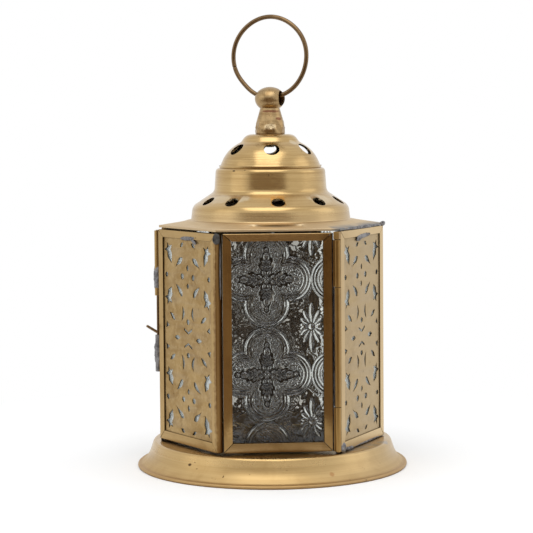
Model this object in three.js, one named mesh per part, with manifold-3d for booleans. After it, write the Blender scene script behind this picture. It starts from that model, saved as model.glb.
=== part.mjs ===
// Hexagonal brass lantern: a spun base and dome, six framed sides, three of them pierced brass,
// a two-sided door on a rolled hinge, a turning wire catch and a hanging ring.
// Millimetres, +Z up, origin at the centre of the foot, the glass front facing -Y.

import * as THREE from "three";
import { mergeVertices } from "three/addons/utils/BufferGeometryUtils.js";
import Module from "manifold-3d";

const wasm = await Module();
wasm.setup();

// Clearances
const fitGap = 0.3; // between pieces that meet or run in one another
const doorGap = 0.9; // above and below the door

// Body
const cornerRadius = 55.9; // lantern axis to each upright corner
const glassHalfAngle = 32; // half of the angle that a glazed side takes at the axis, degrees
const sideTurn = 60; // from one side to the next, degrees
const baseHeight = 13;
const bodyHeight = 105.5; // base plate to the underside of the dome's lip
const spunWall = 0.8; // sheet of the base and the dome

// Side frames: folded brass channels
const stileWidth = 4.2;
const topRailWidth = 3.6;
const bottomRailWidth = 4.4;
const channelSheet = 0.4;
const foldRadius = 0.35;
const plainSetback = 3.3; // upright corner to the frame of a glazed side
const hingeSetback = 4.05; // the same at the hinge, where the barrel stands in the corner
const piercedSheet = 0.4;
const backingGlass = 1.3; // pane behind each pierced sheet

// Hinge
const barrelRadius = 1.5;
const barrelWall = 0.5;
const barrelFromCorner = 1.85; // along the front, corner to barrel axis
const pinRadius = 0.7;
const hingeLeafLength = 2.1;
const lowerKnuckleLength = 21;
const middleKnuckleLength = 56.6;
const topBlockHeight = 3.6;
const topBlockWidth = 2.8;

// Catch
const catchFromCorner = 2.5; // along the side, corner to catch tube axis
const catchWireRadius = 0.7;
const catchLeafReach = 5.4; // corner to the far edge of the leaf that is soldered to the frame
const lowerTubeStart = 33.8; // height of each tube's foot above the base plate
const lowerTubeLength = 18.2;
const upperTubeSetback = 1.7; // its top below the dome's lip
const upperTubeLength = 32.2;
const thumbArmLength = 6.2;
const thumbArmRise = 32; // degrees above level
const thumbArmTurn = -60; // rest direction of the arm, degrees from the right of its own side

// Dome, heights above the body
const domeHeight = 45.5;
const collarRadius = 11.6;
const collarBend = 1.8;
const collarFootRadius = 14.3; // where the collar meets the vented cap
const collarFootHeight = 41.7;
const capBulgeRadius = 21.6; // where the cap turns from sloping to steep
const capBulgeHeight = 37.7;
const capBend = 6.4;
const capRadius = 24.6; // foot of the cap
const capStep = 1.1; // height of the slanted foot of the cap
const drumRadius = 27; // upright band that the cap is soldered on
const drumTopHeight = 28.9;
const drumTopBend = 2.4;
const drumFootHeight = 17.3;
const drumFlare = 0.8; // how much wider the drum is at its foot
const hollowBend = 1.9;
const shoulderRadius = 39; // upright band under the sloping shoulder
const shoulderFlare = 0.8;
const shoulderHeight = 10.2;
const shoulderBend = 2.2;
const brimHeight = 3.5; // where the brim leaves the shoulder
const brimBend = 1.2;
const brimStart = 42; // the shell is round as far as this radius
const brimSetback = 0.5; // behind the body's corners
const lipHeight = 1.1;
const capVentRadius = 3.8;
const capVents = 6;
const capVentAt = 19.4; // axis to the middle of a vent
const shoulderVentRadius = 3.5;
const shoulderVents = 10;
const shoulderVentAt = 33.8;
const ventReach = 4; // half the length of a vent's cutter

// Base
const plateReach = 1.6; // flat of the base plate beyond the body's corners
const plateEdge = 1.2;
const skirtReach = 5.7; // beyond the corners, where the skirt turns out to the rim
const skirtHeight = 4.6;
const skirtBend = 3.5;
const rimReach = 10; // beyond the corners, middle of the rolled rim
const rimRoll = 0.95; // radius of the roll
const rimSeat = 0.57; // half the width that the roll is pressed flat underneath

// Finial, heights above the dome
const bellRadius = 7.3;
const bellStraight = 3.2;
const bellBendRadius = 7; // the bell's side is drawn towards this radius and height
const bellBendHeight = 6.5;
const neckRadius = 4.85;
const ballRadius = 7.45;
const ballHeight = 17; // dome top to the ball's middle
const ringHoleRadius = 3;
const studRadius = 2;
const studLength = 6.5;
const washerRadius = 5;
const washerThickness = 0.8;
const nutAcrossFlats = 7;
const nutHeight = 3.2;

// Sheet that the pierced pattern is drawn for; on another one it spreads in proportion
const drawnHalfWidth = 26.24;
const drawnHeight = 105.5;

// Ring
const ringTurn = -30; // direction of the hole through the ball, degrees from +X
const ringRadius = 19.9; // to the middle of the wire
const ringWireRadius = 1.1;
const ringLift = 0.45; // bottom of the ring above the middle of the hole
const ringEndGap = 0.35; // between the butted ends of the wire
const ringEndAngle = 193; // where the ends meet, degrees from the hole's direction

// Candle cup
const cupRadius = 20.5;
const cupHeight = 9;
const cupWall = 0.6;

// How finely round pieces are drawn
const turnedSegments = 36;
const finialSegments = 20;
const smallSegments = 12;
const bendSteps = 2;
const rimSteps = 4;
const ballSteps = 5;
const brimSteps = 6; // along a glazed side, and one fewer along a pierced one
const ringSteps = 32;
const wireSides = 4; // for each half of the ring's wire
const overcut = 1; // how far a cutter runs past the face it cuts

const halfSideGlass = cornerRadius * sin(glassHalfAngle);
const halfSidePierced = cornerRadius * sin(sideTurn - glassHalfAngle);
const glassFaceAt = cornerRadius * cos(glassHalfAngle);
const piercedFaceAt = cornerRadius * cos(sideTurn - glassHalfAngle);
const bodyTop = baseHeight + bodyHeight;
const domeTop = bodyTop + domeHeight;
const ballCentre = domeTop + ballHeight;
const fixedFoot = baseHeight + fitGap;
const fixedTop = bodyTop - fitGap;
const doorFoot = baseHeight + doorGap;
const doorTop = bodyTop - doorGap;
const channelDepth = 2 * channelSheet + 3 * fitGap + piercedSheet + backingGlass;
const clearGlass = channelDepth - 2 * (channelSheet + fitGap); // pane of each glazed side
const plateRadius = cornerRadius + plateReach;
const skirtRadius = cornerRadius + skirtReach;
const rimRadius = cornerRadius + rimReach;
const rimSeatHeight = Math.sqrt(rimRoll ** 2 - rimSeat ** 2);
const brimCornerRadius = cornerRadius - brimSetback;
const neckHeight = ballCentre - Math.sqrt(ballRadius ** 2 - neckRadius ** 2);

const brass = { colour: 0xb8955a, roughness: 0.38, metalness: 1 };
const darkBrass = { colour: 0x7a5a2e, roughness: 0.45, metalness: 1 };
const paleBrass = { colour: 0xbfa27a, roughness: 0.5, metalness: 1 };
const glass = { colour: 0xd5dde0, roughness: 0.1, metalness: 0 };
const steel = { colour: 0x8d8d8a, roughness: 0.4, metalness: 1 };

function sin(degrees) {
  return Math.sin(THREE.MathUtils.degToRad(degrees));
}

function cos(degrees) {
  return Math.cos(THREE.MathUtils.degToRad(degrees));
}

function piece(name, geometry, finish) {
  const material = new THREE.MeshStandardMaterial({
    color: finish.colour,
    roughness: finish.roughness,
    metalness: finish.metalness,
  });
  const mesh = new THREE.Mesh(geometry, material);
  mesh.name = name;
  return mesh;
}

function toSolid(geometry) {
  const bare = geometry.clone();
  bare.deleteAttribute("normal");
  bare.deleteAttribute("uv");
  const merged = mergeVertices(bare);
  const corners = merged.index.array;
  const faces = [];
  for (let face = 0; face < corners.length; face += 3) {
    const [a, b, c] = corners.slice(face, face + 3);
    if (a !== b && b !== c && c !== a) {
      faces.push(a, b, c);
    }
  }
  return new wasm.Manifold(
    new wasm.Mesh({
      numProp: 3,
      vertProperties: merged.attributes.position.array,
      triVerts: new Uint32Array(faces),
    }),
  );
}

function fromSolid(solid) {
  const mesh = solid.getMesh();
  const geometry = new THREE.BufferGeometry();
  geometry.setAttribute("position", new THREE.BufferAttribute(mesh.vertProperties, 3));
  geometry.setIndex(new THREE.BufferAttribute(mesh.triVerts, 1));
  geometry.computeVertexNormals();
  return geometry;
}

function join(...geometries) {
  return fromSolid(geometries.map(toSolid).reduce((whole, part) => whole.add(part)));
}

function cut(geometry, cutters) {
  return fromSolid(cutters.map(toSolid).reduce((rest, cutter) => rest.subtract(cutter), toSolid(geometry)));
}

// A turned solid about Z. The profile runs anticlockwise, radius across and height up.
function turned(profile, segments = turnedSegments) {
  return new THREE.LatheGeometry(profile, segments).rotateX(Math.PI / 2);
}

function tube(outerRadius, innerRadius, foot, top, segments = smallSegments) {
  const profile = [
    new THREE.Vector2(innerRadius, foot),
    new THREE.Vector2(outerRadius, foot),
    new THREE.Vector2(outerRadius, top),
    new THREE.Vector2(innerRadius, top),
    new THREE.Vector2(innerRadius, foot),
  ];
  return turned(profile, segments);
}

function rod(radius, foot, top, segments = smallSegments) {
  const geometry = new THREE.CylinderGeometry(radius, radius, top - foot, segments);
  return geometry.rotateX(Math.PI / 2).translate(0, 0, (foot + top) / 2);
}

// The inside line of a sheet: each point moved square to the outline by the sheet's thickness.
function insideLine(outline, thickness) {
  return outline.map((point, index) => {
    const before = outline[Math.max(index - 1, 0)];
    const after = outline[Math.min(index + 1, outline.length - 1)];
    const along = after.clone().sub(before).normalize();
    return new THREE.Vector2(point.x + along.y * thickness, point.y - along.x * thickness);
  });
}

// Side frames

// One folded channel, mitred at both ends, lying along Z with its back on X = 0 and opening to +X.
function channel(length, width, startSlope, endSlope) {
  const section = new THREE.Shape();
  section.moveTo(width, 0);
  section.lineTo(width, channelSheet);
  section.lineTo(channelSheet, channelSheet);
  section.lineTo(channelSheet, channelDepth - channelSheet);
  section.lineTo(width, channelDepth - channelSheet);
  section.lineTo(width, channelDepth);
  section.lineTo(foldRadius, channelDepth);
  section.absarc(foldRadius, channelDepth - foldRadius, foldRadius, Math.PI / 2, Math.PI, false);
  section.absarc(foldRadius, foldRadius, foldRadius, Math.PI, 1.5 * Math.PI, false);
  const geometry = new THREE.ExtrudeGeometry(section, {
    depth: length,
    bevelEnabled: false,
    curveSegments: 1,
  });
  const position = geometry.attributes.position;
  const trim = fitGap * Math.SQRT1_2;
  for (let index = 0; index < position.count; index += 1) {
    const across = position.getX(index);
    const atStart = position.getZ(index) < length / 2;
    const height = atStart ? trim + across * startSlope : length - trim - across * endSlope;
    position.setZ(index, height - length / 2);
  }
  geometry.computeVertexNormals();
  return geometry;
}

// Turns a channel so that its open side faces along inward and its web depth runs to +Y.
function laid(geometry, inward, x, z) {
  const depthways = new THREE.Vector3(0, 1, 0);
  const along = inward.clone().cross(depthways);
  const turn = new THREE.Matrix4().makeBasis(inward, depthways, along);
  return geometry.applyMatrix4(turn).translate(x, 0, z);
}

// The four channels of one side, its face on Y = 0.
function frame(name, left, right, foot, top, finish) {
  const width = right - left;
  const height = top - foot;
  const middle = (left + right) / 2;
  const footSlope = bottomRailWidth / stileWidth;
  const topSlope = topRailWidth / stileWidth;
  const toRight = new THREE.Vector3(1, 0, 0);
  const toLeft = new THREE.Vector3(-1, 0, 0);
  const up = new THREE.Vector3(0, 0, 1);
  const down = new THREE.Vector3(0, 0, -1);
  const leftStile = channel(height, stileWidth, footSlope, topSlope);
  const rightStile = channel(height, stileWidth, topSlope, footSlope);
  const bottomRail = channel(width, bottomRailWidth, 1 / footSlope, 1 / footSlope);
  const topRail = channel(width, topRailWidth, 1 / topSlope, 1 / topSlope);
  return [
    piece(`${name}_left_stile`, laid(leftStile, toRight, left, (foot + top) / 2), finish),
    piece(`${name}_right_stile`, laid(rightStile, toLeft, right, (foot + top) / 2), finish),
    piece(`${name}_bottom_rail`, laid(bottomRail, up, middle, foot), finish),
    piece(`${name}_top_rail`, laid(topRail, down, middle, top), finish),
  ];
}

// A sheet that sits in the channels, its near face at the given depth behind the side's face.
function seated(left, right, foot, top, depth, thickness, holes = []) {
  const margin = channelSheet + fitGap;
  const x = (right - left) / 2 - margin;
  const z = (top - foot) / 2 - margin;
  const shape = new THREE.Shape([
    new THREE.Vector2(-x, -z),
    new THREE.Vector2(x, -z),
    new THREE.Vector2(x, z),
    new THREE.Vector2(-x, z),
  ]);
  shape.holes = holes;
  const geometry = new THREE.ExtrudeGeometry(shape, { depth: thickness, bevelEnabled: false });
  geometry.rotateX(Math.PI / 2);
  return geometry.translate((left + right) / 2, depth + thickness, (foot + top) / 2);
}

// Pierced pattern

// A closed outline about a point: radiusAt gives the radius at each of count equal turns.
function roundOutline(count, radiusAt, stretch, turn) {
  return Array.from({ length: count }, (_, index) => {
    const angle = (360 * index) / count + 90;
    const radius = radiusAt(index);
    const point = new THREE.Vector2(radius * cos(angle), radius * sin(angle) * stretch);
    return point.rotateAround(new THREE.Vector2(), THREE.MathUtils.degToRad(turn));
  });
}

// A leaf along +Y with both ends pointed. The swell moves its widest place and the bow curves it.
function leafOutline(length, width, swell, bow, turn) {
  const steps = 3;
  const sides = [];
  for (let index = 0; index < 2 * steps; index += 1) {
    const rising = index < steps;
    const along = rising ? index / steps : (2 * steps - index) / steps;
    const half = (width / 2) * Math.sin(Math.PI * along ** swell);
    const sideways = (rising ? half : -half) - bow * Math.sin(Math.PI * along);
    const point = new THREE.Vector2(sideways, (along - 0.5) * length);
    sides.push(point.rotateAround(new THREE.Vector2(), THREE.MathUtils.degToRad(turn)));
  }
  return sides;
}

function dot(radius) {
  return roundOutline(6, () => radius, 1, 0);
}

// A five-pointed star with one long ray, which hangs straight down before its turn.
function tailedStar(inner, outer, tail, turn) {
  const radiusAt = (index) => (index === 5 ? tail : index % 2 ? inner : outer);
  return roundOutline(10, radiusAt, 1, turn);
}

function chevron(halfWidth, height, band) {
  return [
    new THREE.Vector2(0, -height / 2),
    new THREE.Vector2(halfWidth, height / 2 - band),
    new THREE.Vector2(halfWidth, height / 2),
    new THREE.Vector2(0, -height / 2 + band),
    new THREE.Vector2(-halfWidth, height / 2),
    new THREE.Vector2(-halfWidth, height / 2 - band),
  ];
}

// One quarter of the pattern, [across, up, outline], measured from the middle of the sheet.
function quarterPattern() {
  return [
    [0, 3.6, chevron(3.2, 2.6, 1)],
    [10, 0, leafOutline(4.8, 2.1, 1, 0, 90)],
    [0, 8.1, dot(1.2)],
    [5.3, 12, leafOutline(6.8, 1.6, 1, 1.1, 6)],
    [14.3, 10, leafOutline(5.4, 1.9, 1, 0, -56)],
    [19.1, 5.4, roundOutline(3, () => 1.7, 1, -20)],
    [17.4, 18.6, tailedStar(2.2, 3.2, 5.4, 202)],
    [7.9, 23.1, leafOutline(7.4, 2.3, 0.55, 0.3, -48)],
    [0, 25.6, leafOutline(2.6, 1.8, 1, 0, 0)],
    [0, 34, leafOutline(3, 1.7, 1, 0, 0)],
    [4.9, 29.8, dot(1.35)],
    [8, 36.3, leafOutline(8.2, 2.6, 2, -0.4, 53)],
    [19.2, 30, dot(1.2)],
    [17.5, 42.4, tailedStar(2.1, 3.3, 6.4, -22)],
    [5.2, 45.2, leafOutline(3.3, 1.7, 1, 0, 60)],
  ];
}

// The whole pattern: each outline mirrored into every quarter it isn't centred between.
function piercing() {
  const holes = [];
  const wider = halfSidePierced / drawnHalfWidth;
  const taller = bodyHeight / drawnHeight;
  for (const [across, up, outline] of quarterPattern()) {
    for (const sideways of across === 0 ? [1] : [1, -1]) {
      for (const upwards of up === 0 ? [1] : [1, -1]) {
        const points = outline.map(
          ({ x, y }) => new THREE.Vector2((x + across * wider) * sideways, (y + up * taller) * upwards),
        );
        holes.push(new THREE.Path(points));
      }
    }
  }
  return holes;
}

// The pieces of one side, made with its face on Y = 0 and turned to its place.
function sideGroup(turn, faceAt, pieces) {
  const group = new THREE.Group();
  group.rotateZ(THREE.MathUtils.degToRad(turn));
  group.translateY(-faceAt);
  group.add(...pieces);
  return group;
}

function glazedSide(name, turn, left, right, foot, top, finish) {
  const depth = (channelDepth - clearGlass) / 2;
  const pane = seated(left, right, foot, top, depth, clearGlass);
  return sideGroup(turn, glassFaceAt, [
    ...frame(name, left, right, foot, top, finish),
    piece(`${name}_glass`, pane, glass),
  ]);
}

function piercedSide(name, turn, foot, top, finish) {
  const right = halfSidePierced;
  const left = -right;
  const sheetDepth = channelSheet + fitGap;
  const paneDepth = sheetDepth + piercedSheet + fitGap;
  const sheet = seated(left, right, foot, top, sheetDepth, piercedSheet, piercing());
  const pane = seated(left, right, foot, top, paneDepth, backingGlass);
  return sideGroup(turn, piercedFaceAt, [
    ...frame(name, left, right, foot, top, finish),
    piece(`${name}_fretwork`, sheet, paleBrass),
    piece(`${name}_glass`, pane, glass),
  ]);
}

// Hinge and catch

// A strip rolled into a tube about Z, its flat leaf running to +X beside the tube's foot side.
// The leaf reaches past the tube by extra, and side picks the side of the tube that it leaves.
function rolledTube(foot, top, leafLength, extra, side) {
  const barrel = tube(barrelRadius, barrelRadius - barrelWall, foot, top);
  const thickness = barrelWall + extra;
  const leaf = new THREE.BoxGeometry(leafLength, thickness, top - foot);
  const across = side * (barrelRadius + extra - thickness / 2);
  leaf.translate(leafLength / 2, across, (foot + top) / 2);
  return join(barrel, leaf);
}

function placed(mesh, x, y, turn = 0) {
  mesh.position.set(x, y, 0);
  mesh.rotation.z = THREE.MathUtils.degToRad(turn);
  return mesh;
}

// The barrel stands proud of the front so that it clears the frame beside it.
const hingeX = halfSideGlass - barrelFromCorner;
const barrelStandOff = (barrelRadius + fitGap - barrelFromCorner * cos(sideTurn)) / sin(sideTurn);
const hingeY = -(glassFaceAt + barrelStandOff);
const lowerKnuckleTop = doorFoot + lowerKnuckleLength;
const middleKnuckleFoot = lowerKnuckleTop + fitGap;
const middleKnuckleTop = middleKnuckleFoot + middleKnuckleLength;
const topBlockFoot = fixedTop - topBlockHeight;
const frameReturnTurn = sideTurn + 90;

function doorKnuckles() {
  const reach = hingeSetback - barrelFromCorner - barrelRadius - fitGap;
  const leafTurn = 90;
  const lower = rolledTube(doorFoot, lowerKnuckleTop, hingeLeafLength, reach, 1);
  const upper = rolledTube(middleKnuckleTop + fitGap, topBlockFoot - fitGap, hingeLeafLength, reach, 1);
  return [
    placed(piece("door_knuckle_lower", lower, darkBrass), hingeX, hingeY, leafTurn),
    placed(piece("door_knuckle_upper", upper, darkBrass), hingeX, hingeY, leafTurn),
  ];
}

function hingePost() {
  const knuckle = rolledTube(middleKnuckleFoot, middleKnuckleTop, hingeLeafLength, 0, -1);
  const block = new THREE.BoxGeometry(topBlockWidth, topBlockWidth, topBlockHeight);
  block.translate(0, 0, topBlockFoot + topBlockHeight / 2);
  const bore = rod(barrelRadius - barrelWall, topBlockFoot - overcut, fixedTop + overcut);
  return [
    placed(piece("hinge_post_knuckle", knuckle, darkBrass), hingeX, hingeY, frameReturnTurn),
    placed(piece("hinge_top_block", cut(block, [bore]), darkBrass), hingeX, hingeY, frameReturnTurn),
    placed(piece("hinge_pin", rod(pinRadius, fixedFoot, fixedTop), darkBrass), hingeX, hingeY),
  ];
}

// The catch stands on the left back side, at the corner where the door's free edge closes.
const catchStandOff = barrelRadius + fitGap;
const catchX = halfSideGlass - catchFromCorner;
const lowerTubeFoot = baseHeight + lowerTubeStart;
const lowerTubeTop = lowerTubeFoot + lowerTubeLength;
const upperTubeTop = bodyTop - upperTubeSetback;
const upperTubeFoot = upperTubeTop - upperTubeLength;

function catchTubes() {
  const leafLength = catchLeafReach - catchFromCorner;
  const leafTurn = 180;
  const lower = rolledTube(lowerTubeFoot, lowerTubeTop, leafLength, 0, -1);
  const upper = rolledTube(upperTubeFoot, upperTubeTop, leafLength, 0, -1);
  return [
    placed(piece("catch_tube_lower", lower, steel), catchX, -catchStandOff, leafTurn),
    placed(piece("catch_tube_upper", upper, darkBrass), catchX, -catchStandOff, leafTurn),
  ];
}

// The wire turns in both tubes and rests by its thumb arm on the lower one.
function catchWire() {
  const armHeight = lowerTubeTop + fitGap + catchWireRadius;
  const stem = rod(catchWireRadius, lowerTubeFoot + fitGap, upperTubeTop + fitGap);
  const arm = new THREE.CapsuleGeometry(catchWireRadius, thumbArmLength, 3, smallSegments);
  arm.translate(0, thumbArmLength / 2, 0);
  arm.rotateZ(THREE.MathUtils.degToRad(thumbArmRise - 90));
  arm.rotateX(Math.PI / 2);
  arm.translate(0, 0, armHeight);
  return join(stem, arm);
}

// Turned and spun pieces

// A line through corners [radius, height, run]: each corner is rounded off from run before it to run after it.
function roundedLine(corners) {
  const path = new THREE.Path();
  corners.forEach(([radius, height, run], index) => {
    const corner = new THREE.Vector2(radius, height);
    if (index === 0) {
      path.moveTo(corner.x, corner.y);
    } else if (!run) {
      path.lineTo(corner.x, corner.y);
    } else {
      const before = new THREE.Vector2(...corners[index - 1].slice(0, 2)).sub(corner).setLength(run);
      const after = new THREE.Vector2(...corners[index + 1].slice(0, 2)).sub(corner).setLength(run);
      path.lineTo(corner.x + before.x, corner.y + before.y);
      path.quadraticCurveTo(corner.x, corner.y, corner.x + after.x, corner.y + after.y);
    }
  });
  return path.getPoints(bendSteps);
}

function basePan() {
  const outside = roundedLine([
    [0, baseHeight, 0],
    [plateRadius + plateEdge, baseHeight, plateEdge],
    [skirtRadius, skirtHeight, skirtBend],
    [rimRadius - rimRoll, rimSeatHeight + rimRoll, 0],
  ]);
  const rim = new THREE.Path();
  const flatAngle = Math.acos(rimSeat / rimRoll);
  rim.absarc(rimRadius, rimSeatHeight, rimRoll, 0.6 * Math.PI, -flatAngle, true);
  const inside = insideLine(outside, spunWall).reverse();
  const foot = [new THREE.Vector2(rimRadius + rimSeat, 0), new THREE.Vector2(rimRadius - rimRoll, 0)];
  const profile = [...outside, ...rim.getPoints(rimSteps).slice(0, -1), ...foot, ...inside];
  return piece("base_pan", turned(profile.reverse()), brass);
}

function candleCup() {
  const inner = cupRadius - cupWall;
  const top = baseHeight + cupHeight;
  const profile = [
    new THREE.Vector2(0, baseHeight),
    new THREE.Vector2(cupRadius, baseHeight),
    new THREE.Vector2(cupRadius, top),
    new THREE.Vector2(inner, top),
    new THREE.Vector2(inner, baseHeight + cupWall),
    new THREE.Vector2(0, baseHeight + cupWall),
  ];
  return piece("candle_cup", turned(profile), paleBrass);
}

const drumTop = bodyTop + drumTopHeight;

function capOutline() {
  const foot = drumTop + fitGap;
  return roundedLine([
    [studRadius + fitGap, domeTop, 0],
    [collarRadius, domeTop, collarBend],
    [collarFootRadius, bodyTop + collarFootHeight, 0],
    [capBulgeRadius, bodyTop + capBulgeHeight, capBend],
    [capRadius, foot + capStep, capStep / 2],
    [capRadius + capStep / 2, foot, 0],
  ]);
}

function domeOutline() {
  return roundedLine([
    [capRadius - spunWall, drumTop, 0],
    [drumRadius, drumTop, drumTopBend],
    [drumRadius + drumFlare, bodyTop + drumFootHeight, hollowBend],
    [shoulderRadius - shoulderFlare / 2, bodyTop + shoulderHeight, shoulderBend],
    [shoulderRadius + shoulderFlare / 2, bodyTop + brimHeight, brimBend],
    [brimCornerRadius, bodyTop + lipHeight, 0],
    [brimCornerRadius, bodyTop, 0],
  ]);
}

// Directions round the lantern that take in every corner, each with the reach of the hexagonal
// brim there as a share of its reach at the corners.
function brimDirections() {
  const directions = [];
  for (let side = 0; side < 6; side += 1) {
    const half = side % 2 ? sideTurn - glassHalfAngle : glassHalfAngle;
    const steps = side % 2 ? brimSteps - 1 : brimSteps;
    for (let step = 0; step < steps; step += 1) {
      const offset = half * ((2 * step) / steps - 1);
      directions.push({ turn: side * sideTurn + offset, reach: cos(half) / cos(offset) });
    }
  }
  return directions;
}

// A spun shell: round down to the shoulder, then running out to a hexagonal edge. Its wall ends
// level with the outline's last point.
function domeShell(outline) {
  const foot = outline.at(-1).y;
  const inside = insideLine(outline, spunWall);
  inside.forEach((point) => point.setY(Math.max(point.y, foot)));
  const profile = [...outline.toReversed(), ...inside];
  const directions = brimDirections();
  const points = [];
  for (const { turn, reach } of directions) {
    for (const { x, y } of profile) {
      const radius = x > brimStart ? x * reach : x;
      points.push(radius * sin(turn), -radius * cos(turn), y);
    }
  }
  const faces = [];
  for (let column = 0; column < directions.length; column += 1) {
    const next = (column + 1) % directions.length;
    for (let row = 0; row < profile.length; row += 1) {
      const above = (row + 1) % profile.length;
      const [a, b] = [column, next].map((index) => index * profile.length + row);
      const [c, d] = [next, column].map((index) => index * profile.length + above);
      faces.push(a, b, c, a, c, d);
    }
  }
  const geometry = new THREE.BufferGeometry();
  geometry.setAttribute("position", new THREE.Float32BufferAttribute(points, 3));
  geometry.setIndex(faces);
  geometry.computeVertexNormals();
  return geometry;
}

// A ring of round cutters square to the dome's surface, where the outline has the given radius.
function ventCutters(outline, at, radius, count) {
  const index = outline.findIndex((point) => point.x >= at);
  const above = outline[index - 1];
  const below = outline[index];
  const middle = above.clone().lerp(below, (at - above.x) / (below.x - above.x));
  const lean = Math.atan2(below.x - above.x, above.y - below.y);
  return Array.from({ length: count }, (_, vent) => {
    const cutter = new THREE.CylinderGeometry(radius, radius, 2 * ventReach, smallSegments);
    cutter.rotateX(Math.PI / 2 - lean);
    cutter.translate(0, middle.y, middle.x);
    cutter.rotateY((2 * Math.PI * vent) / count);
    return cutter.rotateX(Math.PI / 2);
  });
}

function dome() {
  const outline = domeOutline();
  const cutters = ventCutters(outline, shoulderVentAt, shoulderVentRadius, shoulderVents);
  return piece("roof_dome", cut(domeShell(outline), cutters), brass);
}

function cap() {
  const outline = capOutline();
  const cutters = ventCutters(outline, capVentAt, capVentRadius, capVents);
  return piece("roof_cap", cut(domeShell(outline), cutters), brass);
}

// Turned in one piece with its stud, and drilled through the ball for the ring.
function finial() {
  const path = new THREE.Path();
  path.moveTo(0, domeTop - studLength);
  path.lineTo(studRadius, domeTop - studLength);
  path.lineTo(studRadius, domeTop);
  path.lineTo(bellRadius, domeTop);
  path.lineTo(bellRadius, domeTop + bellStraight);
  path.quadraticCurveTo(bellBendRadius, domeTop + bellBendHeight, neckRadius, neckHeight);
  const neckAngle = Math.acos(neckRadius / ballRadius);
  path.absarc(0, ballCentre, ballRadius, -neckAngle, Math.PI / 2, false);
  const body = turned(path.getPoints(ballSteps), finialSegments);
  const drill = rod(ringHoleRadius, -2 * ballRadius, 2 * ballRadius);
  drill.rotateY(Math.PI / 2).rotateZ(THREE.MathUtils.degToRad(ringTurn)).translate(0, 0, ballCentre);
  return piece("finial", cut(body, [drill]), brass);
}

// The finial's stud is held inside the dome by a washer and a nut.
function finialFixings() {
  const washerTop = domeTop - spunWall;
  const nutTop = washerTop - washerThickness;
  const bore = studRadius + fitGap;
  const washer = tube(washerRadius, bore, nutTop, washerTop, finialSegments);
  const nutRadius = nutAcrossFlats / 2 / cos(30);
  const nut = cut(rod(nutRadius, nutTop - nutHeight, nutTop, 6), [
    rod(bore, nutTop - nutHeight - overcut, nutTop + overcut),
  ]);
  return [piece("finial_washer", washer, steel), piece("finial_nut", nut, steel)];
}

// The open circle of the ring's wire, in the XZ plane about the origin.
class WireCircle extends THREE.Curve {
  getPoint(share, target = new THREE.Vector3()) {
    const gapTurn = THREE.MathUtils.radToDeg(ringEndGap / ringRadius);
    const turn = ringEndAngle + gapTurn / 2 + share * (360 - gapTurn);
    return target.set(ringRadius * cos(turn), 0, ringRadius * sin(turn));
  }
}

function hangingRing() {
  const section = new THREE.Shape().absarc(0, 0, ringWireRadius, 0, 2 * Math.PI, false);
  const wire = new THREE.ExtrudeGeometry(section, {
    steps: ringSteps,
    curveSegments: wireSides,
    bevelEnabled: false,
    extrudePath: new WireCircle(),
  });
  const ring = piece("hanging_ring", wire, darkBrass);
  ring.position.set(0, 0, ballCentre + ringLift + ringRadius);
  ring.rotation.z = THREE.MathUtils.degToRad(ringTurn);
  return ring;
}

// Assembly

// A group that swings about an upright axis through the given point.
function hungAt(pieces, x, y) {
  const hung = new THREE.Group();
  hung.position.set(x, y, 0);
  const back = new THREE.Group();
  back.position.set(-x, -y, 0);
  back.add(...pieces);
  hung.add(back);
  return hung;
}

// Glass front and pierced left side are one stiff leaf, hinged at the right of the front.
function door() {
  const left = plainSetback - halfSideGlass;
  const right = halfSideGlass - hingeSetback;
  const front = glazedSide("door_front", 0, left, right, doorFoot, doorTop, darkBrass);
  const side = piercedSide("door_side", -sideTurn, doorFoot, doorTop, brass);
  return hungAt([front, side, ...doorKnuckles()], hingeX, hingeY);
}

function fixedSides() {
  const right = halfSideGlass - plainSetback;
  const rightFront = piercedSide("right_front", sideTurn, fixedFoot, fixedTop, paleBrass);
  const rightBack = glazedSide("right_back", 2 * sideTurn, -right, right, fixedFoot, fixedTop, brass);
  const back = piercedSide("back", 3 * sideTurn, fixedFoot, fixedTop, brass);
  const leftBack = glazedSide("left_back", -2 * sideTurn, -right, right, fixedFoot, fixedTop, brass);
  const wire = placed(piece("catch_wire", catchWire(), steel), catchX, -catchStandOff, thumbArmTurn);
  leftBack.add(...catchTubes(), wire);
  return [rightFront, rightBack, back, leftBack];
}

const lantern = new THREE.Group();
lantern.add(basePan(), candleCup(), ...fixedSides(), ...hingePost(), door());
lantern.add(dome(), cap(), finial(), ...finialFixings(), hangingRing());

export default lantern;
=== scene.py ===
import math

import bmesh
import bpy
from mathutils import Matrix, Vector, noise


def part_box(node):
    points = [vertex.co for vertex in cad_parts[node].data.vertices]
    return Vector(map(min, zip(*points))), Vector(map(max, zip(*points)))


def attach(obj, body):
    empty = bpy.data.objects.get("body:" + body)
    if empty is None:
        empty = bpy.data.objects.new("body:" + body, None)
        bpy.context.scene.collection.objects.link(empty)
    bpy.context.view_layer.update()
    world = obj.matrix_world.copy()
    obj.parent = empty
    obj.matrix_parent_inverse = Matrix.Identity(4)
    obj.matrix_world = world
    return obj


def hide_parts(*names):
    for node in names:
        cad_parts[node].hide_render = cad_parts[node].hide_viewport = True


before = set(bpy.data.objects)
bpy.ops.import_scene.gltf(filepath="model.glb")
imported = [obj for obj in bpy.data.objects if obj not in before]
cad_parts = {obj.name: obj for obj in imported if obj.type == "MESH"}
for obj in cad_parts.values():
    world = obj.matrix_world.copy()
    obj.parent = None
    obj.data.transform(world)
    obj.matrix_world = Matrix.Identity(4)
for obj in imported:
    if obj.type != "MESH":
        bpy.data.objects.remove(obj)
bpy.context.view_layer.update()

mm = 0.001

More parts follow.
